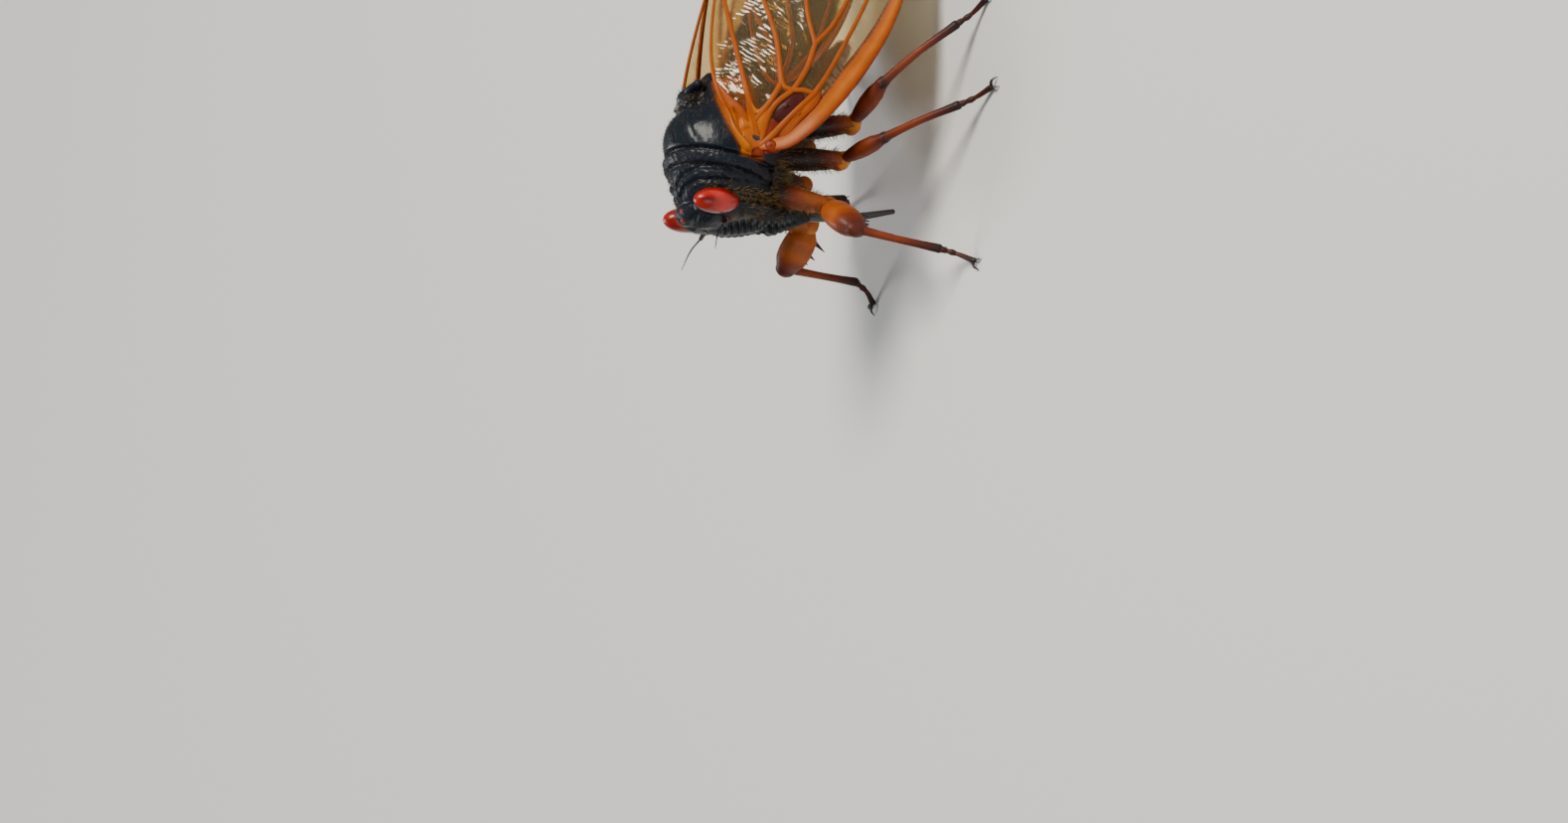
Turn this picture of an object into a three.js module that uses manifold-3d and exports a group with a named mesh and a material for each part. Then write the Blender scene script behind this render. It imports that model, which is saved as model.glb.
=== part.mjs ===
// Periodical cicada, life size, standing with the fore part of its body raised.
// Millimetres, +X towards the head, +Y to the animal's left, +Z up. The middle of the thorax is
// the working origin, and the floor lies standHeight below it.
import * as THREE from "three";
import { mergeVertices } from "three/addons/utils/BufferGeometryUtils.js";
import Module from "manifold-3d";

const wasm = await Module();
wasm.setup();

// Driving dimensions
const standHeight = 15.3;
const gap = 0.3;
const cutGap = 0.37;
const headFront = 6.3;
const neckX = 4.35;
const collarX = 0.65;
const collarWidth = 1.0;
const collarLean = 0.3;
const collarTopZ = 4.6;
const waistX = -5.7;
const noteSideZ = -1.9;
const scutumSideZ = 0.7;
const eye = { x: 4.7, y: 3.6, z: 2.1, length: 1.95, width: 2.3, height: 3.7 };
const headRoll = 3;
const headYaw = -3;
const headPivotZ = -2;
const eyeLean = 0.12;
const faceLean = 0.22;
const ocellusWidth = 0.5;
const abdomenLength = 14.2;
const abdomenSlope = THREE.MathUtils.degToRad(27);
const abdomenSegments = 8;
const rostrumLength = 6.8;
const antennaLength = 3.4;
const wingLength = 36.2;
const membraneThickness = 0.5;
const veinRise = 0.2;
const veinHalfWidth = 0.3;
const costalHalfWidth = 1.15;
const costalEndHalfWidth = 0.8;
const frontHalfWidth = 0.36;
const wingCamber = 1.7;
const wingSpacing = 1.62;
const clawLength = 0.9;
const smallestTurn = 0.02;
const smallestStep = 0.15;

// Colours and finishes
const finish = {
  cuticle: { color: 0x11151c, roughness: 0.28, metalness: 0 },
  eye: { color: 0xa30d08, roughness: 0.2, metalness: 0 },
  wing: { color: 0xd9800f, roughness: 0.35, metalness: 0 },
  leg: { color: 0x8a3812, roughness: 0.38, metalness: 0 },
  tarsus: { color: 0x4a1a0b, roughness: 0.4, metalness: 0 },
};

const cicada = new THREE.Group();
const body = new THREE.Group();
cicada.add(body);

const vec = (x, y, z) => new THREE.Vector3(x, y, z);
const mirrored = (point, side) => vec(point.x, point.y * side, point.z);

// Solids and meshes
function toSolid(geometry) {
  const bare = geometry.clone();
  bare.deleteAttribute("normal");
  bare.deleteAttribute("uv");
  const merged = mergeVertices(bare, 1e-4);
  const index = Array.from(merged.index.array);
  const kept = [];
  for (let i = 0; i < index.length; i += 3) {
    const [a, b, c] = index.slice(i, i + 3);
    if (a !== b && b !== c && a !== c) {
      kept.push(a, b, c);
    }
  }
  return new wasm.Manifold(new wasm.Mesh({
    numProp: 3,
    vertProperties: Float32Array.from(merged.attributes.position.array),
    triVerts: Uint32Array.from(kept),
  }));
}

// The largest closed surface of a solid, as a geometry.
function toGeometry(solid) {
  const pieces = solid.decompose();
  pieces.sort((a, b) => b.volume() - a.volume());
  const mesh = pieces[0].getMesh();
  const geometry = new THREE.BufferGeometry();
  const positions = [];
  for (let i = 0; i < mesh.vertProperties.length; i += mesh.numProp) {
    positions.push(...mesh.vertProperties.slice(i, i + 3));
  }
  geometry.setAttribute("position", new THREE.Float32BufferAttribute(positions, 3));
  geometry.setIndex(Array.from(mesh.triVerts));
  geometry.computeVertexNormals();
  return geometry;
}

function addNode(name, solid, look) {
  const mesh = new THREE.Mesh(toGeometry(solid), new THREE.MeshStandardMaterial(look));
  mesh.name = name;
  body.add(mesh);
}

const joined = (solids) => solids.reduce((sum, solid) => sum.add(solid));

// A value that runs smoothly through the knots [position, value, value, ...] along X.
function atStation(knots, x) {
  const last = knots.length - 1;
  const rising = knots[last][0] > knots[0][0];
  const inOrder = rising ? knots : [...knots].reverse();
  let i = 0;
  while (i < last - 1 && x > inOrder[i + 1][0]) {
    i += 1;
  }
  const span = inOrder[i + 1][0] - inOrder[i][0];
  const share = THREE.MathUtils.clamp((x - inOrder[i][0]) / span, 0, 1);
  const before = inOrder[Math.max(i - 1, 0)];
  const after = inOrder[Math.min(i + 2, last)];
  return inOrder[i].slice(1).map((value, k) => {
    const v0 = before[k + 1];
    const v1 = value;
    const v2 = inOrder[i + 1][k + 1];
    const v3 = after[k + 1];
    const s2 = share * share;
    const s3 = s2 * share;
    return 0.5 * (2 * v1 + (v2 - v0) * share + (2 * v0 - 5 * v1 + 4 * v2 - v3) * s2
      + (3 * v1 - v0 - 3 * v2 + v3) * s3);
  });
}

// A closed body lofted along X. Each knot is [x, half width, top, bottom]; the sections are
// ellipses whose widest line lies at widestShare of the height.
function loftAlongX(knots, { rings, sides, grow = 0, widestShare = 0.5 }) {
  const from = knots[0][0];
  const to = knots[knots.length - 1][0];
  const geometry = new THREE.CylinderGeometry(1, 1, 1, sides, rings);
  const p = geometry.attributes.position;
  for (let i = 0; i < p.count; i += 1) {
    const x = THREE.MathUtils.lerp(from, to, p.getY(i) + 0.5);
    const [half, top, bottom] = atStation(knots, x);
    const waist = THREE.MathUtils.lerp(bottom, top, widestShare);
    const fall = p.getZ(i);
    const reach = fall < 0 ? top - waist + grow : waist - bottom + grow;
    p.setXYZ(i, x, p.getX(i) * (half + grow), waist - fall * reach);
  }
  return toSolid(geometry);
}

function ellipsoid(centre, size, { turnX = 0, width = 14, height = 10 } = {}) {
  const geometry = new THREE.SphereGeometry(0.5, width, height);
  geometry.rotateX(Math.PI / 2);
  geometry.scale(size.x, size.y, size.z);
  geometry.rotateX(turnX);
  geometry.translate(centre.x, centre.y, centre.z);
  return toSolid(geometry);
}

function ball(centre, radius) {
  return ellipsoid(centre, vec(2 * radius, 2 * radius, 2 * radius), { width: 8, height: 6 });
}

function box(low, high) {
  const geometry = new THREE.BoxGeometry(high.x - low.x, high.y - low.y, high.z - low.z);
  geometry.translate((low.x + high.x) / 2, (low.y + high.y) / 2, (low.z + high.z) / 2);
  return toSolid(geometry);
}

// A round limb along a smooth path; radii are spread evenly from its root to its tip.
function limb(points, radii, { steps = 6, sides = 8, grow = 0 } = {}) {
  const ends = points.map((point) => point.clone());
  const last = ends.length - 1;
  ends[0].addScaledVector(points[0].clone().sub(points[1]).normalize(), grow);
  ends[last].addScaledVector(points[last].clone().sub(points[last - 1]).normalize(), grow);
  const path = new THREE.CatmullRomCurve3(ends);
  const frames = path.computeFrenetFrames(steps, false);
  const thickness = radii.map((radius, i) => [i / (radii.length - 1), radius]);
  const geometry = new THREE.CylinderGeometry(1, 1, 1, sides, steps);
  const p = geometry.attributes.position;
  for (let i = 0; i < p.count; i += 1) {
    const step = Math.round((0.5 - p.getY(i)) * steps);
    const radius = atStation(thickness, step / steps)[0] + grow;
    const place = path.getPointAt(step / steps);
    place.addScaledVector(frames.normals[step], p.getX(i) * radius);
    place.addScaledVector(frames.binormals[step], p.getZ(i) * radius);
    p.setXYZ(i, place.x, place.y, place.z);
  }
  return toSolid(geometry);
}

// A straight spine with a blunt tip, its root sunk into what carries it.
function spine(root, direction, length, radius) {
  const tip = root.clone().addScaledVector(direction.clone().normalize(), length);
  return limb([root, tip], [radius, radius * 0.25], { steps: 1, sides: 5 });
}

// Thorax: one smooth form, cut into pronotum, mesonotum and underside.
const thoraxKnots = [
  [-6.2, 2.9, 0.9, -6.2],
  [-5.2, 3.2, 1.7, -6.3],
  [-3.8, 4.0, 2.9, -6.1],
  [-1.6, 4.9, 4.5, -5.6],
  [0.5, 5.15, 4.7, -5.0],
  [2.6, 4.7, 4.45, -4.5],
  [neckX - gap, 3.7, 4.1, -4.0],
];
const thoraxWidest = 0.42;

function thorax(grow = 0, sides = 24) {
  return loftAlongX(thoraxKnots, { rings: 10, sides, grow, widestShare: thoraxWidest });
}

// The mesonotum is a dome that narrows behind to the foot of its cross.
const scutumKnots = [
  [-6.2, 1.5, 1.3, -6.0],
  [-5.2, 1.9, 2.2, -6.0],
  [-4.2, 2.5, 2.9, -6.0],
  [-3.2, 3.5, 3.7, -5.9],
  [-1.4, 4.8, 4.75, -5.6],
  [0.5, 5.1, 4.7, -5.0],
  [1.6, 4.9, 4.55, -4.7],
];

function scutum() {
  return loftAlongX(scutumKnots, { rings: 9, sides: 24, widestShare: thoraxWidest });
}

const farOut = 30;
const lowest = vec(-farOut, -farOut, -farOut);
const highest = vec(farOut, farOut, farOut);

// The border between pronotum and mesonotum runs forward as it comes down the side.
function leaning(solid) {
  const shift = collarLean * collarTopZ;
  return solid.transform([1, 0, 0, 0, 0, 1, 0, 0, -collarLean, 0, 1, 0, shift, 0, 0, 1]);
}

const scutumFront = collarX - 3 * gap / 2;
const aboveNote = leaning(box(vec(collarX - gap / 2, -farOut, noteSideZ), highest));
const behindNote = leaning(box(lowest, vec(scutumFront, farOut, farOut)));
const aboveScutum = box(vec(waistX, -farOut, scutumSideZ), highest).intersect(behindNote);
const belowNote = box(vec(waistX, -farOut, -farOut), vec(farOut, farOut, noteSideZ - gap));
const sideOfScutum = box(vec(waistX, -farOut, -farOut), vec(farOut, farOut, scutumSideZ - gap));
const belowScutum = sideOfScutum.intersect(behindNote);

// The head is held a little turned and tilted on the neck.
function turnHead(solid) {
  return solid.translate([-neckX, 0, -headPivotZ]).rotate([headRoll, 0, headYaw])
    .translate([neckX, 0, headPivotZ]);
}

function straightEye(side, grow = 0) {
  const size = vec(eye.length + 2 * grow, eye.width + 2 * grow, eye.height + 2 * grow);
  const centre = vec(eye.x, side * eye.y, eye.z);
  return ellipsoid(centre, size, { turnX: side * -eyeLean, width: 16, height: 12 });
}

const straightEyes = straightEye(1, cutGap).add(straightEye(-1, cutGap));
const bothEyes = turnHead(straightEyes);

// The raised rear border of the pronotum.
function collar(grow = 0) {
  const knots = thoraxKnots.map(([x, half, top, bottom]) => [x, half + 0.25, top + 0.1, bottom]);
  const rim = loftAlongX(knots, { rings: 12, sides: 24, grow, widestShare: thoraxWidest });
  const rear = collarX - gap / 2 - grow;
  const front = collarX + collarWidth;
  return rim.intersect(leaning(box(vec(rear, -farOut, noteSideZ - grow), vec(front, farOut, farOut))));
}

function pronotum() {
  return thorax().intersect(aboveNote).add(collar()).subtract(bothEyes);
}

// The cross-shaped lift on the rear of the mesonotum has two arms forward and two back.
function mesonotum() {
  const arms = [];
  const centre = vec(waistX + 1.6, 0, 3.0);
  for (const side of [-1, 1]) {
    const front = vec(waistX + 2.5, side * 1.5, 3.15);
    const rear = vec(waistX + 0.8, side * 1.3, 2.55);
    arms.push(limb([front, centre, rear], [0.35, 0.55, 0.35], { steps: 3, sides: 6 }));
  }
  const arch = joined(arms).intersect(aboveScutum);
  return scutum().intersect(aboveScutum).add(arch);
}

// Head: a broad capsule between the eyes, and the swollen, ridged face in front of it.
const faceRidges = 8;
const ridgeRise = 0.12;
const faceCentre = vec(4.3, 0, -1.0);
const faceRadii = vec(2.2, 2.15, 4.1);
const ridgesTop = 0.9;

function faceSolid() {
  const geometry = new THREE.SphereGeometry(1, 14, 4 * faceRidges);
  geometry.rotateX(Math.PI / 2);
  const p = geometry.attributes.position;
  for (let i = 0; i < p.count; i += 1) {
    const along = (p.getZ(i) + 1) / 2;
    const fade = 1 - Math.min(Math.abs(p.getY(i)) * 1.2, 1);
    const wave = Math.cos(2 * Math.PI * faceRidges * along);
    const swell = 1 + (along < ridgesTop ? 0.5 * ridgeRise * wave * fade : 0);
    p.setXYZ(i, faceRadii.x * swell * p.getX(i), faceRadii.y * p.getY(i), faceRadii.z * p.getZ(i));
  }
  geometry.rotateY(faceLean);
  geometry.translate(faceCentre.x, faceCentre.y, faceCentre.z);
  return toSolid(geometry);
}

const antennaRoot = (side) => vec(5.5, side * 2.25, 0.9);
const antennaKnee = (side) => antennaRoot(side).add(vec(0.35, side * 0.3, 0.1));

function head() {
  const capsule = loftAlongX([
    [neckX - gap, 3.5, 3.95, -4.2],
    [4.9, 3.65, 3.9, -4.0],
    [5.5, 3.2, 3.6, -2.9],
    [5.95, 2.3, 3.05, -0.8],
    [headFront, 1.3, 2.5, 0.8],
  ], { rings: 6, sides: 22, widestShare: 0.6 });
  const parts = [capsule, faceSolid()];
  for (const side of [-1, 1]) {
    parts.push(limb([vec(5.0, side * 1.9, 0.8), vec(5.6, side * 2.35, 0.9)], [0.85, 0.55],
      { steps: 2, sides: 8 }));
    parts.push(ball(vec(5.0, side * 0.75, 3.75), ocellusWidth / 2));
    const cheek = [vec(4.9, side * 1.5, -1.2), vec(5.0, side * 1.5, -3.2), vec(4.8, side * 0.5, -5.1)];
    parts.push(limb(cheek, [1.2, 0.95, 0.5], { steps: 4, sides: 8 }));
  }
  parts.push(ball(vec(5.55, 0, 3.5), ocellusWidth / 2));
  const beakBase = [vec(5.0, 0, -3.6), vec(4.85, 0, -5.2), vec(4.75, 0, -6.4)];
  parts.push(limb(beakBase, [1.4, 0.95, 0.5], { steps: 5, sides: 10 }));
  const neckCut = box(lowest, vec(neckX, farOut, farOut));
  const straight = joined(parts).subtract(straightEyes)
    .subtract(antennaBase(1, cutGap)).subtract(antennaBase(-1, cutGap));
  return turnHead(straight).subtract(neckCut);
}

const rostrumRoot = vec(4.7, 0, -6.4 - cutGap);

function rostrum() {
  const tip = vec(rostrumRoot.x - 0.75, 0, rostrumRoot.z - rostrumLength);
  const middle = vec(rostrumRoot.x - 0.15, 0, rostrumRoot.z - rostrumLength * 0.5);
  return turnHead(limb([rostrumRoot, middle, tip], [0.45, 0.36, 0.3, 0.22], { steps: 6, sides: 8 }));
}

function antennaBase(side, grow = 0) {
  return limb([antennaRoot(side), antennaKnee(side)], [0.34, 0.3], { steps: 1, sides: 7, grow });
}

function antenna(side) {
  const root = antennaKnee(side);
  const reach = vec(0.8, side * 0.46, 0.42).normalize();
  const bend = vec(0, 0, 0.25);
  const middle = root.clone().addScaledVector(reach, antennaLength * 0.5).add(bend);
  const tip = root.clone().addScaledVector(reach, antennaLength);
  const whip = limb([root.clone().addScaledVector(reach, -0.1), middle, tip], [0.27, 0.25, 0.2, 0.1],
    { steps: 7, sides: 6 });
  return turnHead(antennaBase(side).add(whip));
}

// Abdomen: eight rings along a line that droops behind the thorax, then the genital segments.
const abdomenRoot = vec(waistX - gap, 0, -3.1);
const abdomenPinch = 0.25;
const abdomenDirection = vec(-Math.cos(abdomenSlope), 0, -Math.sin(abdomenSlope));
const abdomenProfile = [
  [0, 3.15, 3.4],
  [0.15, 3.25, 3.6],
  [0.4, 3.25, 3.65],
  [0.65, 2.9, 3.3],
  [0.85, 2.1, 2.4],
  [0.95, 1.35, 1.55],
  [1, 0.75, 0.9],
];
const segmentStep = 0.16;
const abdomenDroop = 1.3;
const tipShare = 0.875;

// A stretch of the abdomen between two shares of its length.
function abdomenStretch(from, to, grow = 0) {
  const rings = Math.round((to - from) * abdomenSegments) * 2;
  const geometry = new THREE.CylinderGeometry(1, 1, 1, 18, rings);
  const p = geometry.attributes.position;
  const start = abdomenRoot.clone();
  for (let i = 0; i < p.count; i += 1) {
    const ring = Math.round((0.5 - p.getY(i)) * rings);
    const share = THREE.MathUtils.lerp(from, to, ring / rings);
    const [half, deep] = atStation(abdomenProfile, share);
    const edge = ring % 2 === 1 ? segmentStep : 0;
    const droop = abdomenDroop * share * share;
    const place = start.clone().addScaledVector(abdomenDirection, share * abdomenLength);
    const up = -p.getZ(i);
    const across = p.getX(i) * (half + edge + grow) * (1 - abdomenPinch * Math.max(up, 0));
    const high = up * (deep + edge + grow);
    p.setXYZ(i, place.x, across, place.z + droop + high);
  }
  return toSolid(geometry);
}

const waistCut = box(vec(waistX - gap, -farOut, -farOut), highest);

function abdomen() {
  return abdomenStretch(0, tipShare).subtract(waistCut);
}

function abdomenTip() {
  const start = abdomenRoot.clone().addScaledVector(abdomenDirection, tipShare * abdomenLength);
  const [half, deep] = atStation(abdomenProfile, tipShare);
  const lift = abdomenDroop * tipShare * tipShare;
  const from = vec(start.x - gap, 0, start.z + lift);
  const knots = [
    [from.x - 3.0, 0.5, from.z - 1.3, from.z - 2.1],
    [from.x - 1.9, 1.05, from.z - 0.1, from.z - 2.5],
    [from.x - 0.8, half * 0.8, from.z + deep * 0.6, from.z - deep * 0.95],
    [from.x, half * 0.92, from.z + deep * 0.9, from.z - deep * 0.95],
  ];
  return loftAlongX(knots, { rings: 6, sides: 14 });
}

// Small plates that cover the hearing organs, behind the hind coxae.
function operculum(side) {
  const path = [vec(waistX + 0.2, side * 2.1, -7.0), vec(waistX - 2.6, side * 1.9, -9.2)];
  const plate = limb(path, [1.0, 1.45, 0.9], { steps: 4, sides: 8 });
  return plate.subtract(abdomenStretch(0, tipShare, cutGap + 0.08)).subtract(thorax(cutGap, 20));
}

// Legs. Each row gives the root, hip, knee, ankle and claw of one leg, and its thicknesses.
const floorZ = -standHeight;
const toeZ = floorZ + 0.2;
const legs = {
  fore_left: {
    side: 1,
    root: vec(3.7, 2.3, -3.2),
    hip: vec(4.7, 3.1, -7.1),
    knee: vec(7.4, 6.9, -7.6),
    ankle: vec(9.3, 9.6, -13.2),
    toe: vec(10.6, 11.5, toeZ),
    coxaRadii: [0.95, 0.95, 0.75],
    femurRadii: [0.55, 1.0, 1.25, 1.15, 0.6],
    femurSpines: true,
  },
  fore_right: {
    side: -1,
    root: vec(3.7, 2.3, -3.2),
    hip: vec(4.7, 2.8, -7.8),
    knee: vec(7.4, 5.5, -6.9),
    ankle: vec(7.8, 6.6, -13.2),
    toe: vec(9.1, 7.7, toeZ),
    coxaRadii: [0.95, 0.95, 0.75],
    femurRadii: [0.55, 1.0, 1.25, 1.15, 0.6],
    femurSpines: true,
  },
  mid_left: {
    side: 1,
    root: vec(1.0, 2.6, -4.0),
    hip: vec(1.2, 4.0, -7.9),
    knee: vec(0.5, 8.2, -9.6),
    ankle: vec(-0.9, 13.4, -13.6),
    toe: vec(-1.6, 16.2, toeZ),
    coxaRadii: [1.0, 0.95, 0.7],
    femurRadii: [0.45, 0.62, 0.66, 0.62, 0.5],
  },
  mid_right: {
    side: -1,
    root: vec(1.0, 2.6, -4.0),
    hip: vec(1.1, 3.9, -7.9),
    knee: vec(0.9, 8.4, -8.0),
    ankle: vec(0.3, 9.4, -13.7),
    toe: vec(0.2, 11.9, toeZ),
    coxaRadii: [1.0, 0.95, 0.7],
    femurRadii: [0.45, 0.62, 0.66, 0.62, 0.5],
  },
  hind_left: {
    side: 1,
    root: vec(-1.4, 2.6, -4.8),
    hip: vec(-1.6, 4.5, -8.7),
    knee: vec(-3.7, 8.7, -9.5),
    ankle: vec(-7.2, 13.5, -13.7),
    toe: vec(-8.5, 15.9, toeZ),
    coxaRadii: [1.05, 1.0, 0.75],
    femurRadii: [0.45, 0.62, 0.68, 0.62, 0.5],
  },
  hind_right: {
    side: -1,
    root: vec(-1.7, 2.6, -4.8),
    hip: vec(-2.2, 4.4, -8.6),
    knee: vec(-4.8, 7.7, -9.9),
    ankle: vec(-9.2, 10.4, -13.7),
    toe: vec(-11.3, 12.6, toeZ),
    coxaRadii: [1.05, 1.0, 0.75],
    femurRadii: [0.45, 0.62, 0.68, 0.62, 0.5],
  },
};
const kneeRadius = 0.48;
const ankleRadius = 0.33;
const belowFloor = box(lowest, vec(farOut, farOut, floorZ));
const spineShares = [0.26, 0.5, 0.7];
const spineLengths = [1.5, 1.05, 0.6];

function legSolids(leg) {
  const root = mirrored(leg.root, leg.side);
  const hip = mirrored(leg.hip, leg.side);
  const knee = mirrored(leg.knee, leg.side);
  const ankle = mirrored(leg.ankle, leg.side);
  const toe = mirrored(leg.toe, leg.side);
  const hipRadius = leg.coxaRadii[2];

  const coxa = (grow) => limb([root, hip], leg.coxaRadii, { steps: 4, sides: 10, grow })
    .add(ball(hip, hipRadius + grow));
  const femurCore = (grow) => limb([hip, knee], leg.femurRadii, { steps: 7, sides: 10, grow })
    .add(ball(knee, kneeRadius + grow));
  const tibiaCore = (grow) => limb([knee, ankle], [0.4, 0.37, 0.34, 0.36], { steps: 5, sides: 8, grow })
    .add(ball(ankle, ankleRadius + grow));

  let femur = femurCore(0);
  if (leg.femurSpines) {
    const along = knee.clone().sub(hip);
    const inward = ankle.clone().sub(knee);
    inward.addScaledVector(along, -inward.dot(along) / along.lengthSq()).normalize();
    const lean = along.clone().normalize().multiplyScalar(0.45);
    spineShares.forEach((share, i) => {
      const start = hip.clone().addScaledVector(along, share).addScaledVector(inward, 0.55);
      femur = femur.add(spine(start, inward.clone().add(lean), spineLengths[i] + 0.45, 0.32));
    });
  }
  const heel = ankle.clone().lerp(toe, 0.45);
  heel.z = THREE.MathUtils.lerp(ankle.z, toe.z, 0.6);
  let tarsus = limb([ankle, heel, toe], [0.3, 0.3, 0.28, 0.27], { steps: 4, sides: 7 });
  const forward = toe.clone().sub(heel).setZ(0).normalize();
  const sideways = vec(-forward.y, forward.x, 0);
  for (const spread of [-1, 1]) {
    const start = toe.clone().addScaledVector(forward, -0.15);
    const middle = start.clone().addScaledVector(forward, clawLength * 0.6)
      .addScaledVector(sideways, spread * clawLength * 0.35).setZ(toeZ + 0.12);
    const tip = start.clone().addScaledVector(forward, clawLength)
      .addScaledVector(sideways, spread * clawLength * 0.5).setZ(floorZ + 0.12);
    tarsus = tarsus.add(limb([start, middle, tip], [0.22, 0.17, 0.08], { steps: 2, sides: 4 }));
  }
  return {
    coxa: coxa(0),
    coxaGrown: coxa(cutGap),
    femur: femur.subtract(coxa(cutGap)),
    tibia: tibiaCore(0).subtract(femurCore(cutGap)),
    tarsus: tarsus.subtract(tibiaCore(cutGap)).subtract(belowFloor),
  };
}

// Wings. A wing is drawn flat, with u along it from the hinge and v towards its leading edge,
// and then laid on a gently curved sheet beside the abdomen.
const flat = (u, v) => new THREE.Vector2(u, v);

const forewing = {
  edge: [
    {
      points: [flat(0, 0), flat(0.7, 2.3), flat(3.0, 4.1), flat(7.0, 5.3), flat(11.3, 5.9)],
      halfWidth: costalHalfWidth,
      steps: 6,
    },
    {
      points: [flat(11.3, 5.9), flat(15.5, 5.8), flat(20.5, 4.8)],
      halfWidth: costalEndHalfWidth,
      steps: 4,
    },
    { points: [flat(20.5, 4.8), flat(24.5, 3.7), flat(28.2, 2.0)], halfWidth: frontHalfWidth, steps: 3 },
    { points: [flat(28.2, 2.0), flat(31.2, 0.4)], steps: 2 },
    { points: [flat(31.2, 0.4), flat(33.9, -1.6)], steps: 2 },
    { points: [flat(33.9, -1.6), flat(35.8, -4.1)], steps: 2 },
    { points: [flat(35.8, -4.1), flat(wingLength, -5.6), flat(35.3, -7.0)], steps: 3 },
    { points: [flat(35.3, -7.0), flat(33.5, -8.0), flat(31.2, -8.6)], steps: 2 },
    { points: [flat(31.2, -8.6), flat(28.2, -9.05), flat(25.2, -9.25)], steps: 2 },
    { points: [flat(25.2, -9.25), flat(21.4, -9.3), flat(17.6, -9.2)], steps: 2 },
    { points: [flat(17.6, -9.2), flat(12.6, -8.5)], steps: 2 },
    { points: [flat(12.6, -8.5), flat(7.0, -6.7), flat(3.5, -4.8), flat(0.9, -2.1), flat(0, 0)], steps: 6 },
  ],
  veins: [
    [flat(0, 0), flat(1.8, 1.2), flat(4.9, 2.7), flat(9.0, 3.3), flat(14.7, 3.6), flat(18.6, 3.1)],
    [flat(18.6, 3.1), flat(20.5, 4.8)],
    [flat(18.6, 3.1), flat(23.5, 2.6), flat(28.2, 2.0)],
    [flat(18.6, 3.1), flat(22.0, 1.7), flat(25.4, 0.75)],
    [flat(25.4, 0.75), flat(28.4, 0.65), flat(31.2, 0.4)],
    [flat(25.4, 0.75), flat(24.9, -0.6)],
    [flat(0, 0), flat(2.5, 0.1), flat(4.6, 1.2)],
    [flat(4.6, 1.2), flat(4.9, 2.0), flat(4.9, 2.7)],
    [flat(4.6, 1.2), flat(6.6, 1.5), flat(8.8, 1.35)],
    [flat(8.8, 1.35), flat(11.0, 2.05), flat(14.4, 2.2), flat(19.5, 1.1), flat(24.9, -0.6)],
    [flat(24.9, -0.6), flat(29.5, -0.95), flat(33.9, -1.6)],
    [flat(24.9, -0.6), flat(26.1, -2.3)],
    [flat(26.1, -2.3), flat(31.0, -2.9), flat(35.8, -4.1)],
    [flat(26.1, -2.3), flat(24.4, -4.1)],
    [flat(8.8, 1.35), flat(12.0, -0.6), flat(18.5, -2.8), flat(24.4, -4.1)],
    [flat(24.4, -4.1), flat(30.0, -5.2), flat(35.3, -7.0)],
    [flat(24.4, -4.1), flat(22.6, -5.6)],
    [flat(22.6, -5.6), flat(27.0, -6.8), flat(31.2, -8.6)],
    [flat(22.6, -5.6), flat(20.0, -6.1)],
    [flat(4.6, 1.2), flat(4.9, 0.2), flat(8.4, -1.7), flat(12.8, -5.2)],
    [flat(12.8, -5.2), flat(16.4, -5.4), flat(20.0, -6.1)],
    [flat(20.0, -6.1), flat(22.8, -7.4), flat(25.2, -9.25)],
    [flat(12.8, -5.2), flat(15.2, -7.2), flat(17.6, -9.2)],
    [flat(0, 0), flat(1.6, -0.9), flat(6.0, -3.9), flat(12.6, -8.5)],
  ],
};

const hindwing = {
  edge: [
    {
      points: [flat(5.2, -0.5), flat(6.8, 0.8), flat(10.4, 1.9), flat(15.0, 1.9), flat(19.5, 0.6)],
      halfWidth: frontHalfWidth,
      steps: 6,
    },
    { points: [flat(19.5, 0.6), flat(21.6, -0.7), flat(22.8, -2.4)], steps: 2 },
    { points: [flat(22.8, -2.4), flat(22.6, -4.2), flat(21.2, -5.6)], steps: 3 },
    { points: [flat(21.2, -5.6), flat(18.8, -6.6), flat(16.0, -6.8)], steps: 2 },
    { points: [flat(16.0, -6.8), flat(13.8, -6.5), flat(11.8, -5.8)], steps: 2 },
    { points: [flat(11.8, -5.8), flat(8.4, -3.9), flat(5.8, -1.8), flat(5.2, -0.5)], steps: 4 },
  ],
  veins: [
    [flat(5.2, -0.5), flat(9.0, 0.8), flat(14.6, 0.5)],
    [flat(14.6, 0.5), flat(17.2, 0.8), flat(19.5, 0.6)],
    [flat(14.6, 0.5), flat(15.9, -1.2)],
    [flat(15.9, -1.2), flat(19.5, -1.6), flat(22.8, -2.4)],
    [flat(15.9, -1.2), flat(16.2, -3.4)],
    [flat(16.2, -3.4), flat(19.0, -4.2), flat(21.2, -5.6)],
    [flat(5.2, -0.5), flat(9.0, -0.9), flat(13.0, -2.9), flat(16.2, -3.4)],
    [flat(13.0, -2.9), flat(14.9, -4.8), flat(16.0, -6.8)],
    [flat(5.2, -0.5), flat(7.8, -1.9), flat(11.8, -5.8)],
  ],
};

// Points along a flat curve, both ends included.
function sampled(points, steps) {
  return new THREE.SplineCurve(points).getSpacedPoints(steps);
}

const keyOf = (point) => `${point.x.toFixed(3)},${point.y.toFixed(3)}`;

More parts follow.
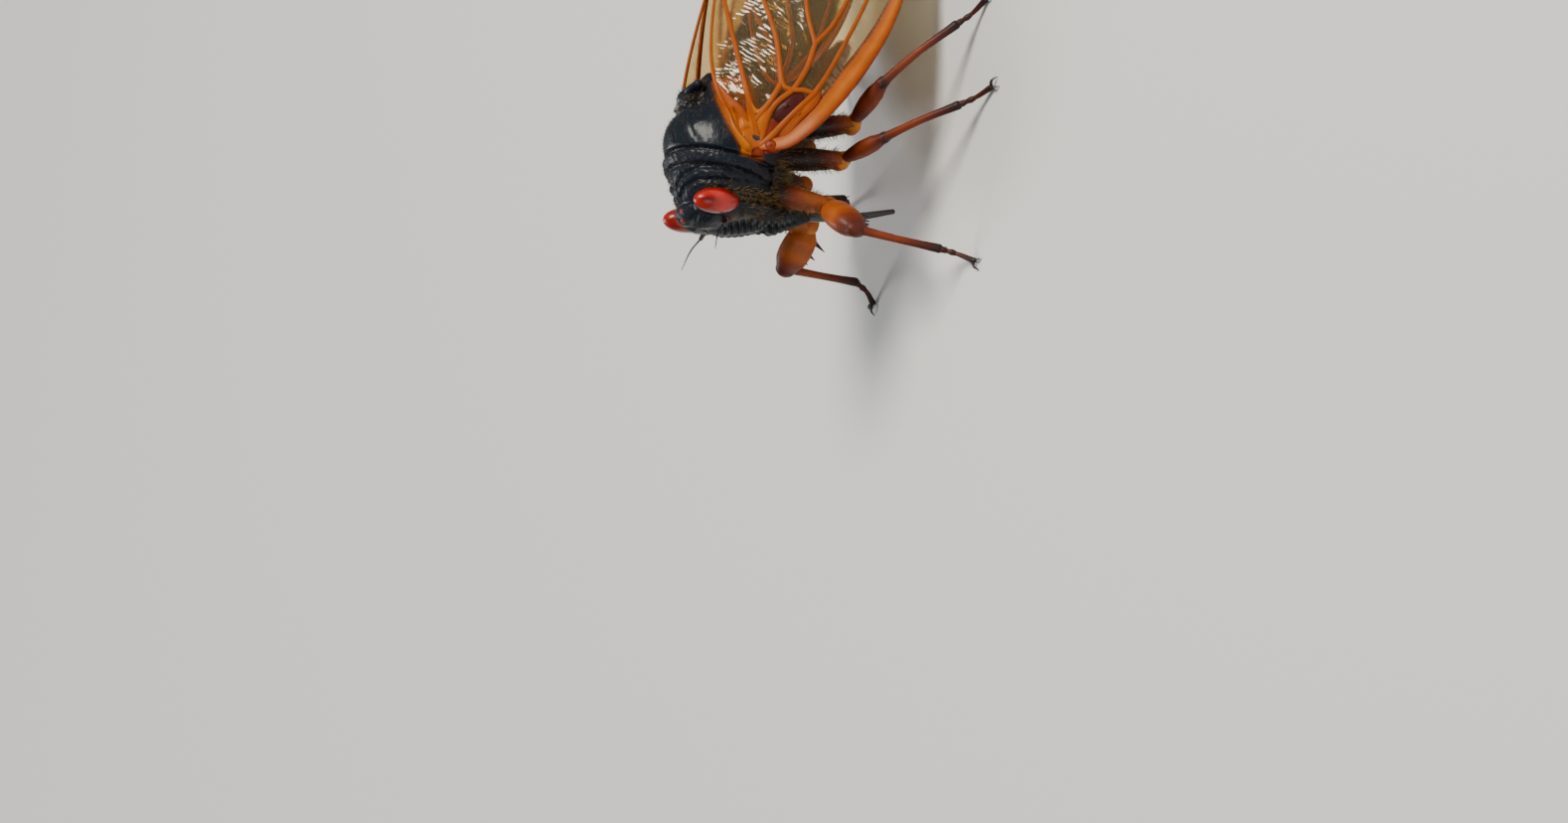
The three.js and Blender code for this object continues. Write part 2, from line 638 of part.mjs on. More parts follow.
// Cuts every vein at the points where others join it, so that only ends meet.
function wingEdges(plan) {
  const ends = new Set();
  for (const row of plan.veins) {
    ends.add(keyOf(row[0]));
    ends.add(keyOf(row[row.length - 1]));
  }
  const edges = plan.edge.map((row) => ({
    points: sampled(row.points, row.steps),
    halfWidth: row.halfWidth ?? veinHalfWidth,
  }));
  for (const row of plan.veins) {
    const through = [0];
    for (let i = 1; i < row.length - 1; i += 1) {
      if (ends.has(keyOf(row[i]))) {
        through.push(i);
      }
    }
    through.push(row.length - 1);
    for (let i = 1; i < through.length; i += 1) {
      const control = row.slice(through[i - 1], through[i] + 1);
      const length = control[0].distanceTo(control[control.length - 1]);
      const steps = THREE.MathUtils.clamp(Math.round(length / 2.6), 1, 5);
      edges.push({ points: sampled(control, steps), halfWidth: veinHalfWidth });
    }
  }
  return edges;
}

// Walks round each cell of the vein network. A corner turns as sharply as it can, so every
// inner face comes out anticlockwise and the outline clockwise.
function wingCells(edges) {
  const out = new Map();
  edges.forEach((edge, index) => {
    for (const reversed of [false, true]) {
      const points = reversed ? [...edge.points].reverse() : edge.points;
      const key = keyOf(points[0]);
      const angle = Math.atan2(points[1].y - points[0].y, points[1].x - points[0].x);
      const half = { points, index, reversed, angle, halfWidth: edge.halfWidth, used: false };
      out.set(key, [...(out.get(key) ?? []), half]);
    }
  });
  const cells = [];
  for (const halves of out.values()) {
    for (const first of halves) {
      const rim = [];
      let half = first;
      while (!half.used) {
        half.used = true;
        const steps = half.points.length - 1;
        for (let i = 0; i < steps; i += 1) {
          rim.push({ a: half.points[i], b: half.points[i + 1], halfWidth: half.halfWidth });
        }
        const arrived = half;
        const options = out.get(keyOf(arrived.points[steps]));
        const back = options.find((o) => o.index === arrived.index && o.reversed !== arrived.reversed);
        const turn = (option) => {
          const angle = (back.angle - option.angle) % (2 * Math.PI);
          return angle <= 1e-9 ? angle + 2 * Math.PI : angle;
        };
        half = options.filter((o) => o !== back).sort((m, n) => turn(m) - turn(n))[0];
      }
      if (rim.length > 2) {
        cells.push(rim);
      }
    }
  }
  return cells;
}

const areaOf = (rim) => rim.reduce((sum, s) => sum + (s.a.x * s.b.y - s.b.x * s.a.y) / 2, 0);

function distanceToStretch(point, { a, b }) {
  const along = b.clone().sub(a);
  const share = THREE.MathUtils.clamp(point.clone().sub(a).dot(along) / along.lengthSq(), 0, 1);
  return point.distanceTo(a.clone().addScaledVector(along, share));
}

// The clear pane inside a cell: the cell's rim moved in by the half width of its veins.
function paneOf(rim) {
  const count = rim.length;
  const moved = rim.map((stretch) => {
    const along = stretch.b.clone().sub(stretch.a).normalize();
    const inward = flat(-along.y, along.x).multiplyScalar(stretch.halfWidth);
    return { from: stretch.a.clone().add(inward), along };
  });
  const corners = [];
  for (let i = 0; i < count; i += 1) {
    const before = moved[(i + count - 1) % count];
    const here = moved[i];
    const cross = before.along.x * here.along.y - before.along.y * here.along.x;
    if (Math.abs(cross) < smallestTurn) {
      corners.push(here.from);
    } else {
      const between = here.from.clone().sub(before.from);
      const reach = (between.x * here.along.y - between.y * here.along.x) / cross;
      corners.push(before.from.clone().addScaledVector(before.along, reach));
    }
  }
  const inside = (point) => rim.every((s) => distanceToStretch(point, s) > s.halfWidth * 0.97)
    && isInside(point, rim);
  const good = corners.filter(inside);
  return good.filter((point, i) => point.distanceTo(good[(i + 1) % good.length]) > smallestStep);
}

function isInside(point, rim) {
  let crossings = 0;
  for (const { a, b } of rim) {
    if ((a.y > point.y) !== (b.y > point.y)) {
      const at = a.x + ((point.y - a.y) / (b.y - a.y)) * (b.x - a.x);
      crossings += at > point.x ? 1 : 0;
    }
  }
  return crossings % 2 === 1;
}

// The plane of the left forewing in the resting roof, turned about the hinge.
const wingHinge = vec(0.9, 4.95, -0.8);
const wingAlong = vec(-0.907, 0.036, -0.419).normalize();
const wingOut = vec(-0.206, 0.83, 0.517);
const wingUp = new THREE.Vector3().crossVectors(wingAlong, wingOut).normalize();
const wingNormal = new THREE.Vector3().crossVectors(wingUp, wingAlong).normalize();

// A place on the wing's curved sheet, lifted off it by height and set in by depth.
function onSheet(point, height, depth) {
  const rise = THREE.MathUtils.smoothstep(point.x, -0.5, 4);
  const camber = wingCamber * rise * (1 - ((point.y + 1.8) / 7.4) ** 2);
  return wingHinge.clone()
    .addScaledVector(wingAlong, point.x)
    .addScaledVector(wingUp, point.y)
    .addScaledVector(wingNormal, camber + height - depth);
}

function wingSolid(plan, side, depth) {
  const edges = wingEdges(plan);
  const cells = wingCells(edges);
  const outlineRim = cells.find((rim) => areaOf(rim) < 0);
  const outline = outlineRim.map((s) => s.a).reverse();
  const panes = cells.filter((rim) => areaOf(rim) > 0).map(paneOf)
    .filter((pane) => pane.length > 2);
  const holes = panes.map((pane) => [...pane].reverse());

  const positions = [];
  const index = [];
  const place = (points, height) => {
    const start = positions.length / 3;
    for (const point of points) {
      const p = mirrored(onSheet(point, height, depth), side);
      positions.push(p.x, p.y, p.z);
    }
    return start;
  };
  const face = (a, b, c, faceUp) => {
    index.push(...(faceUp === side < 0 ? [a, b, c] : [a, c, b]));
  };
  const frameTriangles = THREE.ShapeUtils.triangulateShape([...outline], holes.map((h) => [...h]));
  const framePoints = [...outline, ...holes.flat()];
  const veinHeight = membraneThickness / 2 + veinRise;
  const top = place(framePoints, veinHeight);
  const under = place(framePoints, -veinHeight);
  for (const [a, b, c] of frameTriangles) {
    face(top + a, top + b, top + c, true);
    face(under + a, under + b, under + c, false);
  }
  for (let i = 0; i < outline.length; i += 1) {
    const next = (i + 1) % outline.length;
    face(top + i, under + i, under + next, true);
    face(top + i, under + next, top + next, true);
  }
  let offset = outline.length;
  for (const hole of holes) {
    const upper = place(hole, membraneThickness / 2);
    const lower = place(hole, -membraneThickness / 2);
    const paneTriangles = THREE.ShapeUtils.triangulateShape([...hole], []);
    for (const [a, b, c] of paneTriangles) {
      face(upper + a, upper + b, upper + c, true);
      face(lower + a, lower + b, lower + c, false);
    }
    for (let i = 0; i < hole.length; i += 1) {
      const next = (i + 1) % hole.length;
      face(top + offset + i, upper + i, upper + next, true);
      face(top + offset + i, upper + next, top + offset + next, true);
      face(under + offset + i, lower + next, lower + i, true);
      face(under + offset + i, under + offset + next, lower + next, true);
    }
    offset += hole.length;
  }
  const geometry = new THREE.BufferGeometry();
  geometry.setAttribute("position", new THREE.Float32BufferAttribute(positions, 3));
  geometry.setIndex(index);
  return toSolid(geometry);
}

const thoraxWithCollar = thorax(cutGap).add(collar(cutGap));
const midline = box(vec(-farOut, -gap * 0.6, -farOut), vec(farOut, gap * 0.6, farOut));

function forewingSolid(side) {
  const root = mirrored(wingHinge, side);
  const shoulder = limb([
    mirrored(wingHinge.clone().add(vec(0.1, -0.9, 0)), side),
    root,
    mirrored(onSheet(flat(2.4, 0.3), 0, 0), side),
  ], [0.7, 0.9, 0.4], { steps: 4, sides: 8 });
  return wingSolid(forewing, side, 0).add(shoulder).subtract(thoraxWithCollar).subtract(midline);
}

function hindwingSolid(side) {
  const hinge = onSheet(flat(5.2, -0.5), 0, wingSpacing);
  const shoulder = limb([
    mirrored(hinge.clone().add(vec(0.5, -1.2, 0.2)), side),
    mirrored(hinge.clone().add(vec(0, -0.1, 0)), side),
    mirrored(onSheet(flat(6.0, -0.2), 0, wingSpacing), side),
  ], [0.5, 0.4, 0.25], { steps: 4, sides: 7 });
  return wingSolid(hindwing, side, wingSpacing).add(shoulder).subtract(thorax(cutGap));
}

// Assembly
const sides = { left: 1, right: -1 };
const coxae = [];
for (const [name, leg] of Object.entries(legs)) {
  const solids = legSolids(leg);
  coxae.push(solids.coxaGrown);
  addNode(`coxa_${name}`, solids.coxa, finish.leg);
  addNode(`femur_${name}`, solids.femur, finish.leg);
  addNode(`tibia_${name}`, solids.tibia, finish.leg);
  addNode(`tarsus_${name}`, solids.tarsus, finish.tarsus);
}
const underside = thorax().intersect(belowNote.add(belowScutum)).subtract(joined(coxae));
addNode("thorax_underside", underside.subtract(bothEyes), finish.cuticle);
addNode("pronotum", pronotum(), finish.cuticle);
addNode("mesonotum", mesonotum(), finish.cuticle);
addNode("head", head().subtract(joined(coxae)), finish.cuticle);
addNode("rostrum", rostrum(), finish.cuticle);
addNode("abdomen", abdomen(), finish.cuticle);
addNode("abdomen_tip", abdomenTip(), finish.cuticle);
for (const [name, side] of Object.entries(sides)) {
  addNode(`eye_${name}`, turnHead(straightEye(side)), finish.eye);
  addNode(`antenna_${name}`, antenna(side), finish.cuticle);
  addNode(`operculum_${name}`, operculum(side), finish.cuticle);
  addNode(`forewing_${name}`, forewingSolid(side), finish.wing);
  addNode(`hindwing_${name}`, hindwingSolid(side), finish.wing);
}

// The origin is the middle of the footprint's box, on the floor.
body.updateWorldMatrix(true, true);
const extent = new THREE.Box3().setFromObject(body);
body.position.set(-(extent.min.x + extent.max.x) / 2, -(extent.min.y + extent.max.y) / 2, -extent.min.z);

export default cicada;
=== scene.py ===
# %% [markdown]
# # A periodical cicada, life size
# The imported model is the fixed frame: every piece is drawn where its solid says. A cicada is a
# hard, hollow animal, so most of its skin is glossy plates with seams between them, and its
# four wings are glass-clear sheets held open by orange veins.

# %% Load the frame
import math
import random

import bpy
import numpy as np
from mathutils import Matrix, Vector, noise


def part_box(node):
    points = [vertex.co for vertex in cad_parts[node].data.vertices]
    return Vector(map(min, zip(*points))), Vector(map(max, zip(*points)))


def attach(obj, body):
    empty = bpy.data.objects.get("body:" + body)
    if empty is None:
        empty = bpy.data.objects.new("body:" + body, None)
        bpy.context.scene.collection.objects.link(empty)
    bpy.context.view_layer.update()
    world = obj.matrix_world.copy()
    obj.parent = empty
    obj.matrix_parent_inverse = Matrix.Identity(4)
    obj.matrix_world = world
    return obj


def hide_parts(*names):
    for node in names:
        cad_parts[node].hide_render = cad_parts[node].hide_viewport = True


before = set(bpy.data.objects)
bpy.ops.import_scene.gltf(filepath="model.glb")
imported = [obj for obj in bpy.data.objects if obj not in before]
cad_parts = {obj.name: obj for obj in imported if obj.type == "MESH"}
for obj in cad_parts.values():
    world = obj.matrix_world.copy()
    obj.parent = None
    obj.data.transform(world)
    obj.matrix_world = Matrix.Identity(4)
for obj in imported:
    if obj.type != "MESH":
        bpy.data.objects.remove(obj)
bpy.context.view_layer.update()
random.seed(17)

# %% [markdown]
# ## Where things are
# All shapes below are thought of in millimetres around the middle of the thorax, with x towards
# the head, y to the animal's left and z up. One eye of the CAD model has a known place in
# those millimetres, and so it tells where the working origin lies in the scene.

# %% Working origin
MM = 0.001
HEAD_PIVOT = np.array([4.35, 0, -2.0])
HEAD_TURN = Matrix.Rotation(math.radians(-3), 3, "Z") @ Matrix.Rotation(math.radians(3), 3, "X")


def turn_head(points, back=False):
    """The head is held a little turned and tilted on the neck."""
    turn = np.array(HEAD_TURN) if back else np.array(HEAD_TURN).T
    return (np.asarray(points, float) - HEAD_PIVOT) @ turn + HEAD_PIVOT


EYE_PLACE = (4.7, 3.6, 2.1)
EYE = turn_head(EYE_PLACE)
eye_low, eye_high = (np.array(corner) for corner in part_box("eye_left"))
origin = (eye_low + eye_high) / 2 - EYE * MM
FLOOR = -origin[2] / MM


def to_scene(points):
    """Millimetres around the thorax to metres in the scene."""
    return np.asarray(points, float) * MM + origin


print("origin", origin, "floor at", round(FLOOR, 2))

# %% [markdown]
# ## Camera
# The photograph looks down on the left side from a little in front, and the animal climbs
# downwards in it. So the camera is rolled a quarter turn: its right hand side is the animal's
# underside. The place follows from a scale in pixels a millimetre and three angles.

# %% Camera
PHOTO = (1578, 828)
SCALE = 13.15
RISE, TURN, ROLL = (math.radians(angle) for angle in (22, 14, 3))
DISTANCE = 400
THORAX_PIXEL = (730.15, 153.1)
SENSOR = 36

forward = Vector((math.cos(TURN), -math.sin(TURN), 0))
toward = Vector((math.sin(TURN) * math.cos(RISE), math.cos(TURN) * math.cos(RISE), math.sin(RISE)))
upward = toward.cross(forward)
if upward.z < 0:
    upward = -upward
right = -math.sin(ROLL) * forward - math.cos(ROLL) * upward
down = math.cos(ROLL) * forward - math.sin(ROLL) * upward
aim = right * (PHOTO[0] / 2 - THORAX_PIXEL[0]) / SCALE + down * (PHOTO[1] / 2 - THORAX_PIXEL[1]) / SCALE
spot = Vector(to_scene(aim + toward * DISTANCE))
bpy.ops.object.camera_add(location=spot)
camera = bpy.context.object
camera.name = "camera"
camera.matrix_world = Matrix.Translation(spot) @ Matrix((right, -down, toward)).transposed().to_4x4()
camera.data.sensor_width = SENSOR
camera.data.lens = SCALE * DISTANCE / PHOTO[0] * SENSOR
camera.data.clip_start = 0.01
camera.data.clip_end = 20
bpy.context.scene.camera = camera
print("camera", tuple(round(c, 4) for c in camera.location), "lens", round(camera.data.lens, 1))

# %% [markdown]
# ## Curves and tubes
# Legs, veins, feelers and claws are all tubes of changing thickness along a smooth curve. One
# helper spaces points evenly on a curve, and one lays rings round it, with rounded ends.


# %% Curves and tubes
def curve_through(points, count):
    """Evenly spaced places on a smooth curve through the points."""
    p = np.array(points, float)
    q = np.vstack([2 * p[0] - p[1], p, 2 * p[-1] - p[-2]])
    s = np.linspace(0, 1, 24, endpoint=False)[:, None]
    dense = []
    for i in range(1, len(q) - 2):
        a, b, c, d = q[i - 1 : i + 3]
        bend = (2 * a - 5 * b + 4 * c - d) * s**2 + (3 * b - a - 3 * c + d) * s**3
        dense.append(0.5 * (2 * b + (c - a) * s + bend))
    dense = np.vstack(dense + [q[-2:-1]])
    at = np.concatenate([[0], np.cumsum(np.linalg.norm(np.diff(dense, axis=0), axis=1))])
    wanted = np.linspace(0, at[-1], count)
    return np.stack([np.interp(wanted, at, dense[:, k]) for k in range(p.shape[1])], axis=1)


def spread(values, shares):
    """Values that stand evenly from 0 to 1, read smoothly at the shares."""
    values = np.array(values, float)
    knots = np.linspace(0, 1, len(values))
    fine = np.linspace(0, 1, 161)
    width = max(3, int(len(fine) / max(len(values) - 1, 1) * 0.5) | 1)
    kernel = np.hanning(width + 2)[1:-1]
    kernel /= kernel.sum()

    def soft(row):
        line = np.interp(fine, knots, row)
        padded = np.concatenate([np.full(width // 2, line[0]), line, np.full(width // 2, line[-1])])
        return np.interp(shares, fine, np.convolve(padded, kernel, "valid"))

    if values.ndim == 1:
        return soft(values)
    return np.stack([soft(values[:, k]) for k in range(values.shape[1])], axis=1)


def unit(v):
    v = np.asarray(v, float)
    return v / max(np.linalg.norm(v), 1e-12)


CAP_ANGLES = (82, 60, 35, 15)


def tube(path, radii, sides=16, count=24, flat=1.0, up=(0, 0, 1), caps=True):
    """Rings along a path. Gives places, faces and each place's share of the length."""
    centre = curve_through(path, count)
    share = np.linspace(0, 1, count)
    radius = spread(radii, share)
    along = np.gradient(centre, axis=0)
    along /= np.linalg.norm(along, axis=1)[:, None]
    rings = [(centre[i], radius[i], along[i], share[i]) for i in range(count)]

    def cap(end, sign):
        angles = [math.radians(angle) for angle in CAP_ANGLES]
        return [
            (centre[end] + along[end] * sign * radius[end] * math.sin(a) * 0.8,
             radius[end] * math.cos(a), along[end], share[end])
            for a in (angles if sign < 0 else reversed(angles))
        ]

    if caps:
        rings = cap(0, -1) + rings + cap(count - 1, 1)
    side = np.cross(np.asarray(up, float), rings[0][2])
    if np.linalg.norm(side) < 1e-3:
        side = np.cross((0, 1, 0), rings[0][2])
    side = unit(side)
    turn = np.linspace(0, 2 * np.pi, sides, endpoint=False)
    points, shares = [], []
    for middle, size, way, at in rings:
        side = unit(side - way * np.dot(side, way))
        other = np.cross(way, side)
        points.append(middle + size * (np.cos(turn)[:, None] * side + flat * np.sin(turn)[:, None] * other))
        shares.append(np.full(sides, at))
    points = np.vstack(points)
    shares = np.concatenate(shares)
    faces = []
    for r in range(len(rings) - 1):
        for k in range(sides):
            n = (k + 1) % sides
            faces.append((r * sides + k, r * sides + n, (r + 1) * sides + n, (r + 1) * sides + k))
    faces.append(tuple(range(sides - 1, -1, -1)))
    last = (len(rings) - 1) * sides
    faces.append(tuple(range(last, last + sides)))
    return points, faces, shares


def loft(knots, rings, sides, widest=0.5):
    """A body lofted along x through rows of x, half width, top and bottom."""
    rows = curve_through(knots, rings)
    turn = np.linspace(0, 2 * np.pi, sides, endpoint=False)
    points = []
    for x, half, top, bottom in rows:
        waist = bottom + (top - bottom) * widest
        up = np.sin(turn)
        reach = np.where(up > 0, top - waist, waist - bottom)
        ring = np.stack([np.full(sides, x), np.cos(turn) * half, waist + up * reach], axis=1)
        points.append(ring)
    flip = knots[-1][0] < knots[0][0]
    faces = []
    for r in range(rings - 1):
        for k in range(sides):
            n = (k + 1) % sides
            face = (r * sides + k, r * sides + n, (r + 1) * sides + n, (r + 1) * sides + k)
            faces.append(face[::-1] if flip else face)
    ends = [tuple(range(sides - 1, -1, -1)), tuple(range((rings - 1) * sides, rings * sides))]
    faces += [face[::-1] if flip else face for face in ends]
    return np.vstack(points), faces


class Shells:
    """Collects closed shells that together make one piece."""

    def __init__(self):
        self.points, self.faces, self.paint, self.count = [], [], [], 0

    def add(self, points, faces, paint):
        paint = np.asarray(paint, float)
        if paint.ndim == 1:
            paint = np.tile(paint, (len(points), 1))
        self.points.append(points)
        self.paint.append(paint)
        self.faces += [tuple(i + self.count for i in face) for face in faces]
        self.count += len(points)

    def piece(self, name):
        return add_piece(name, np.vstack(self.points), self.faces, np.vstack(self.paint))


def paint_on(mesh, paint):
    """Keeps a colour and a dullness for every point, for the materials to read."""
    layer = mesh.attributes.get("paint") or mesh.color_attributes.new("paint", "FLOAT_COLOR", "POINT")
    full = np.ones((len(mesh.vertices), 4))
    full[:, : paint.shape[1]] = paint
    layer.data.foreach_set("color", np.concatenate([full[:, :3], np.ones((len(full), 1))], axis=1).ravel())
    value = mesh.attributes.get("cover") or mesh.attributes.new("cover", "FLOAT", "POINT")
    value.data.foreach_set("value", full[:, 3])


def add_piece(name, points, faces, paint):
    mesh = bpy.data.meshes.new(name)
    mesh.from_pydata(to_scene(points).tolist(), [], faces)
    mesh.update()
    paint_on(mesh, paint)
    mesh.shade_smooth()
    piece = bpy.data.objects.new(name, mesh)
    bpy.context.collection.objects.link(piece)
    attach(piece, "root")
    return piece


# %% [markdown]
# ## Finishes
# The plates of the body share one finish: a dark ground whose colour is kept on the points of
# the mesh, tiny pits, and a clear hard gloss. The pits and wrinkles are one node group inside
# a shared finish, so that the legs, the body and the veins can use it with their own numbers.


# %% Node groups
def new_group(name, inputs, outputs):
    group = bpy.data.node_groups.new(name, "ShaderNodeTree")
    for label, kind, value in inputs:
        socket = group.interface.new_socket(label, in_out="INPUT", socket_type=kind)
        socket.default_value = value
    for label, kind in outputs:
        group.interface.new_socket(label, in_out="OUTPUT", socket_type=kind)
    return group, group.nodes.new("NodeGroupInput"), group.nodes.new("NodeGroupOutput")


def math_node(tree, operation, a, b=None):
    node = tree.nodes.new("ShaderNodeMath")
    node.operation = operation
    for socket, value in zip(node.inputs, (a, b)):
        if value is None:
            continue
        if isinstance(value, (int, float)):
            socket.default_value = value
        else:
            tree.links.new(value, socket)
    return node.outputs[0]


def make_relief_group():
    """Pits and wrinkles of hard cuticle, as one height."""
    group, source, out = new_group(
        "cuticle relief",
        [("Pit Size", "NodeSocketFloat", 0.2), ("Pits", "NodeSocketFloat", 0.5), ("Wrinkles", "NodeSocketFloat", 0.5)],
        [("Height", "NodeSocketFloat"), ("Mottle", "NodeSocketFloat")],
    )
    tree = group
    coords = tree.nodes.new("ShaderNodeTexCoord").outputs["Object"]
    per_metre = math_node(tree, "DIVIDE", 1000.0, source.outputs["Pit Size"])
    cells = tree.nodes.new("ShaderNodeTexVoronoi")
    tree.links.new(coords, cells.inputs["Vector"])
    tree.links.new(per_metre, cells.inputs["Scale"])
    pit = math_node(tree, "MULTIPLY", math_node(tree, "MINIMUM", cells.outputs["Distance"], 0.45), 2.2)
    wrinkle = tree.nodes.new("ShaderNodeTexNoise")
    tree.links.new(coords, wrinkle.inputs["Vector"])
    wrinkle.inputs["Scale"].default_value = 2600
    wrinkle.inputs["Detail"].default_value = 4
    wrinkle.inputs["Distortion"].default_value = 0.6
    height = math_node(
        tree,
        "ADD",
        math_node(tree, "MULTIPLY", pit, source.outputs["Pits"]),
        math_node(tree, "MULTIPLY", wrinkle.outputs["Fac"], source.outputs["Wrinkles"]),
    )
    mottle = tree.nodes.new("ShaderNodeTexNoise")
    tree.links.new(coords, mottle.inputs["Vector"])
    mottle.inputs["Scale"].default_value = 900
    mottle.inputs["Detail"].default_value = 3
    tree.links.new(height, out.inputs["Height"])
    tree.links.new(mottle.outputs["Fac"], out.inputs["Mottle"])
    return group


relief_group = make_relief_group()


def chitin(name, pit_size, pits, wrinkles, bump, roughness, coat, coat_roughness=0.15, mottle=0.35, alpha=False, specular=0.5):
    """A hard, glossy finish whose ground colour is read from the points of the mesh."""
    material = bpy.data.materials.new(name)
    material.use_nodes = True
    tree = material.node_tree
    shader = tree.nodes["Principled BSDF"]
    relief = tree.nodes.new("ShaderNodeGroup")
    relief.node_tree = relief_group
    relief.inputs["Pit Size"].default_value = pit_size
    relief.inputs["Pits"].default_value = pits
    relief.inputs["Wrinkles"].default_value = wrinkles
    paint = tree.nodes.new("ShaderNodeAttribute")
    paint.attribute_name = "paint"
    cover = tree.nodes.new("ShaderNodeAttribute")
    cover.attribute_name = "cover"
    tint = tree.nodes.new("ShaderNodeHueSaturation")
    tree.links.new(paint.outputs["Color"], tint.inputs["Color"])
    level = math_node(tree, "ADD", math_node(tree, "MULTIPLY", relief.outputs["Mottle"], 2 * mottle), 1 - mottle)
    tree.links.new(level, tint.inputs["Value"])
    tree.links.new(tint.outputs["Color"], shader.inputs["Base Color"])
    bumped = tree.nodes.new("ShaderNodeBump")
    bumped.inputs["Strength"].default_value = 1.0
    bumped.inputs["Distance"].default_value = bump * MM
    tree.links.new(relief.outputs["Height"], bumped.inputs["Height"])
    tree.links.new(bumped.outputs["Normal"], shader.inputs["Normal"])
    if alpha:
        tree.links.new(cover.outputs["Fac"], shader.inputs["Alpha"])
        shader.inputs["Roughness"].default_value = roughness
    else:
        rough = math_node(tree, "MULTIPLY", cover.outputs["Fac"], roughness)
        rough = math_node(tree, "ADD", rough, math_node(tree, "MULTIPLY", relief.outputs["Mottle"], 0.12))
        tree.links.new(rough, shader.inputs["Roughness"])
    shader.inputs["Coat Weight"].default_value = coat
    shader.inputs["Coat Roughness"].default_value = coat_roughness
    shader.inputs["Specular IOR Level"].default_value = specular
    return material


skin_finish = chitin("cuticle", 0.16, 0.22, 0.7, 0.03, 0.36, 0.12, coat_roughness=0.1, specular=0.16)
leg_finish = chitin("leg chitin", 0.12, 0.4, 0.9, 0.03, 0.46, 0.06, specular=0.28)
vein_finish = chitin("vein", 0.3, 0.1, 0.8, 0.025, 0.42, 0.04, mottle=0.3, specular=0.2)
claw_finish = chitin("claw", 0.3, 0.0, 0.3, 0.01, 0.25, 0.4)
hair_finish = chitin("golden hair", 0.5, 0.0, 0.0, 0.0, 0.5, 0.0)


def make_membrane():
    """Clear, amber, faintly wrinkled film."""
    material = chitin("membrane", 0.5, 0.0, 1.0, 0.012, 0.07, 0.0, mottle=0.1)
    shader = material.node_tree.nodes["Principled BSDF"]
    for link in list(shader.inputs["Roughness"].links):
        material.node_tree.links.remove(link)
    shader.inputs["Roughness"].default_value = 0.1
    shader.inputs["Transmission Weight"].default_value = 0.955
    shader.inputs["IOR"].default_value = 1.5
    shader.inputs["Specular IOR Level"].default_value = 0.22
    return material


membrane_finish = make_membrane()
print("finishes", [m.name for m in bpy.data.materials])


def finish(piece, material, slot, *nodes):
    piece.data.materials.append(material)
    if nodes:
        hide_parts(*nodes)


# %% [markdown]
# ## Body skin
# Head and thorax are one hard shell with seams. The shell is lofted from the same rows of
# widths and heights as the solids, the parts are fused with a fine voxel remesh, and the
# grooves between plates are then pressed in by moving its points.

# %% Fuse the head and thorax
thorax_rows = [
    (-6.2, 2.9, 0.9, -6.2),
    (-5.2, 3.2, 1.7, -6.3),
    (-3.8, 4.0, 2.9, -6.1),
    (-1.6, 4.9, 4.5, -5.6),
    (0.5, 5.15, 4.7, -5.0),
    (2.6, 4.7, 4.45, -4.5),
    (4.05, 3.7, 4.1, -4.0),
    (4.9, 3.0, 3.3, -3.4),
]
scutum_rows = [
    (-6.2, 1.5, 1.3, -6.0),
    (-5.2, 1.9, 2.2, -6.0),
    (-4.2, 2.5, 2.9, -6.0),
    (-3.2, 3.5, 3.7, -5.9),
    (-1.4, 4.8, 4.75, -5.6),
    (0.5, 5.1, 4.7, -5.0),
    (1.6, 4.9, 4.55, -4.7),
]
collar_rows = [
    (0.5, 5.25, 4.75, -4.9),
    (0.65, 5.38, 4.85, -5.0),
    (1.2, 5.32, 4.78, -4.95),
    (1.5, 5.15, 4.66, -4.9),
    (1.65, 4.95, 4.55, -4.8),
]
COLLAR_LEAN, COLLAR_TOP = 0.3, 4.6
head_rows = [
    (4.0, 3.3, 3.7, -3.9),
    (4.35, 3.6, 4.0, -4.2),
    (4.9, 3.7, 3.95, -4.0),
    (5.5, 3.2, 3.7, -2.9),
    (5.95, 2.3, 3.2, -0.8),
    (6.3, 1.3, 2.6, 0.8),
]
WIDEST = 0.42
core = Shells()
BLACK = (0.011, 0.013, 0.018, 1.0)
core.add(*loft(thorax_rows, 60, 72, WIDEST), BLACK)
core.add(*loft(scutum_rows, 50, 72, WIDEST), BLACK)
points, faces = loft(collar_rows, 14, 96, WIDEST)
height = np.maximum(points[:, 2], -2.2)
narrowed = 1 - 0.13 * np.clip((0.8 - height) / 3, 0, 1)
points = np.column_stack([points[:, 0] + COLLAR_LEAN * (COLLAR_TOP - height), points[:, 1] * narrowed, height])
core.add(points, faces, BLACK)
points, faces = loft(head_rows, 30, 72, 0.6)
core.add(turn_head(points), faces, BLACK)


def ellipsoid(centre, radii, turn_y=0.0, rings=24, sides=32):
    """A ball squashed to three radii, turned about y and set at its centre."""
    a = np.linspace(0.02, math.pi - 0.02, rings)
    b = np.linspace(0, 2 * math.pi, sides, endpoint=False)
    ball = np.stack(
        [np.outer(np.sin(a), np.cos(b)), np.outer(np.sin(a), np.sin(b)), np.outer(np.cos(a), np.ones(sides))], axis=-1
    ).reshape(-1, 3) * np.array(radii)
    c, s = math.cos(turn_y), math.sin(turn_y)
    turned = np.column_stack([c * ball[:, 0] + s * ball[:, 2], ball[:, 1], -s * ball[:, 0] + c * ball[:, 2]])
    faces = []
    for r in range(rings - 1):
        for k in range(sides):
            n = (k + 1) % sides
            faces.append((r * sides + k, (r + 1) * sides + k, (r + 1) * sides + n, r * sides + n))
    faces.append(tuple(range(sides)))
    faces.append(tuple(range(rings * sides - 1, (rings - 1) * sides - 1, -1)))
    return turned + np.array(centre), faces


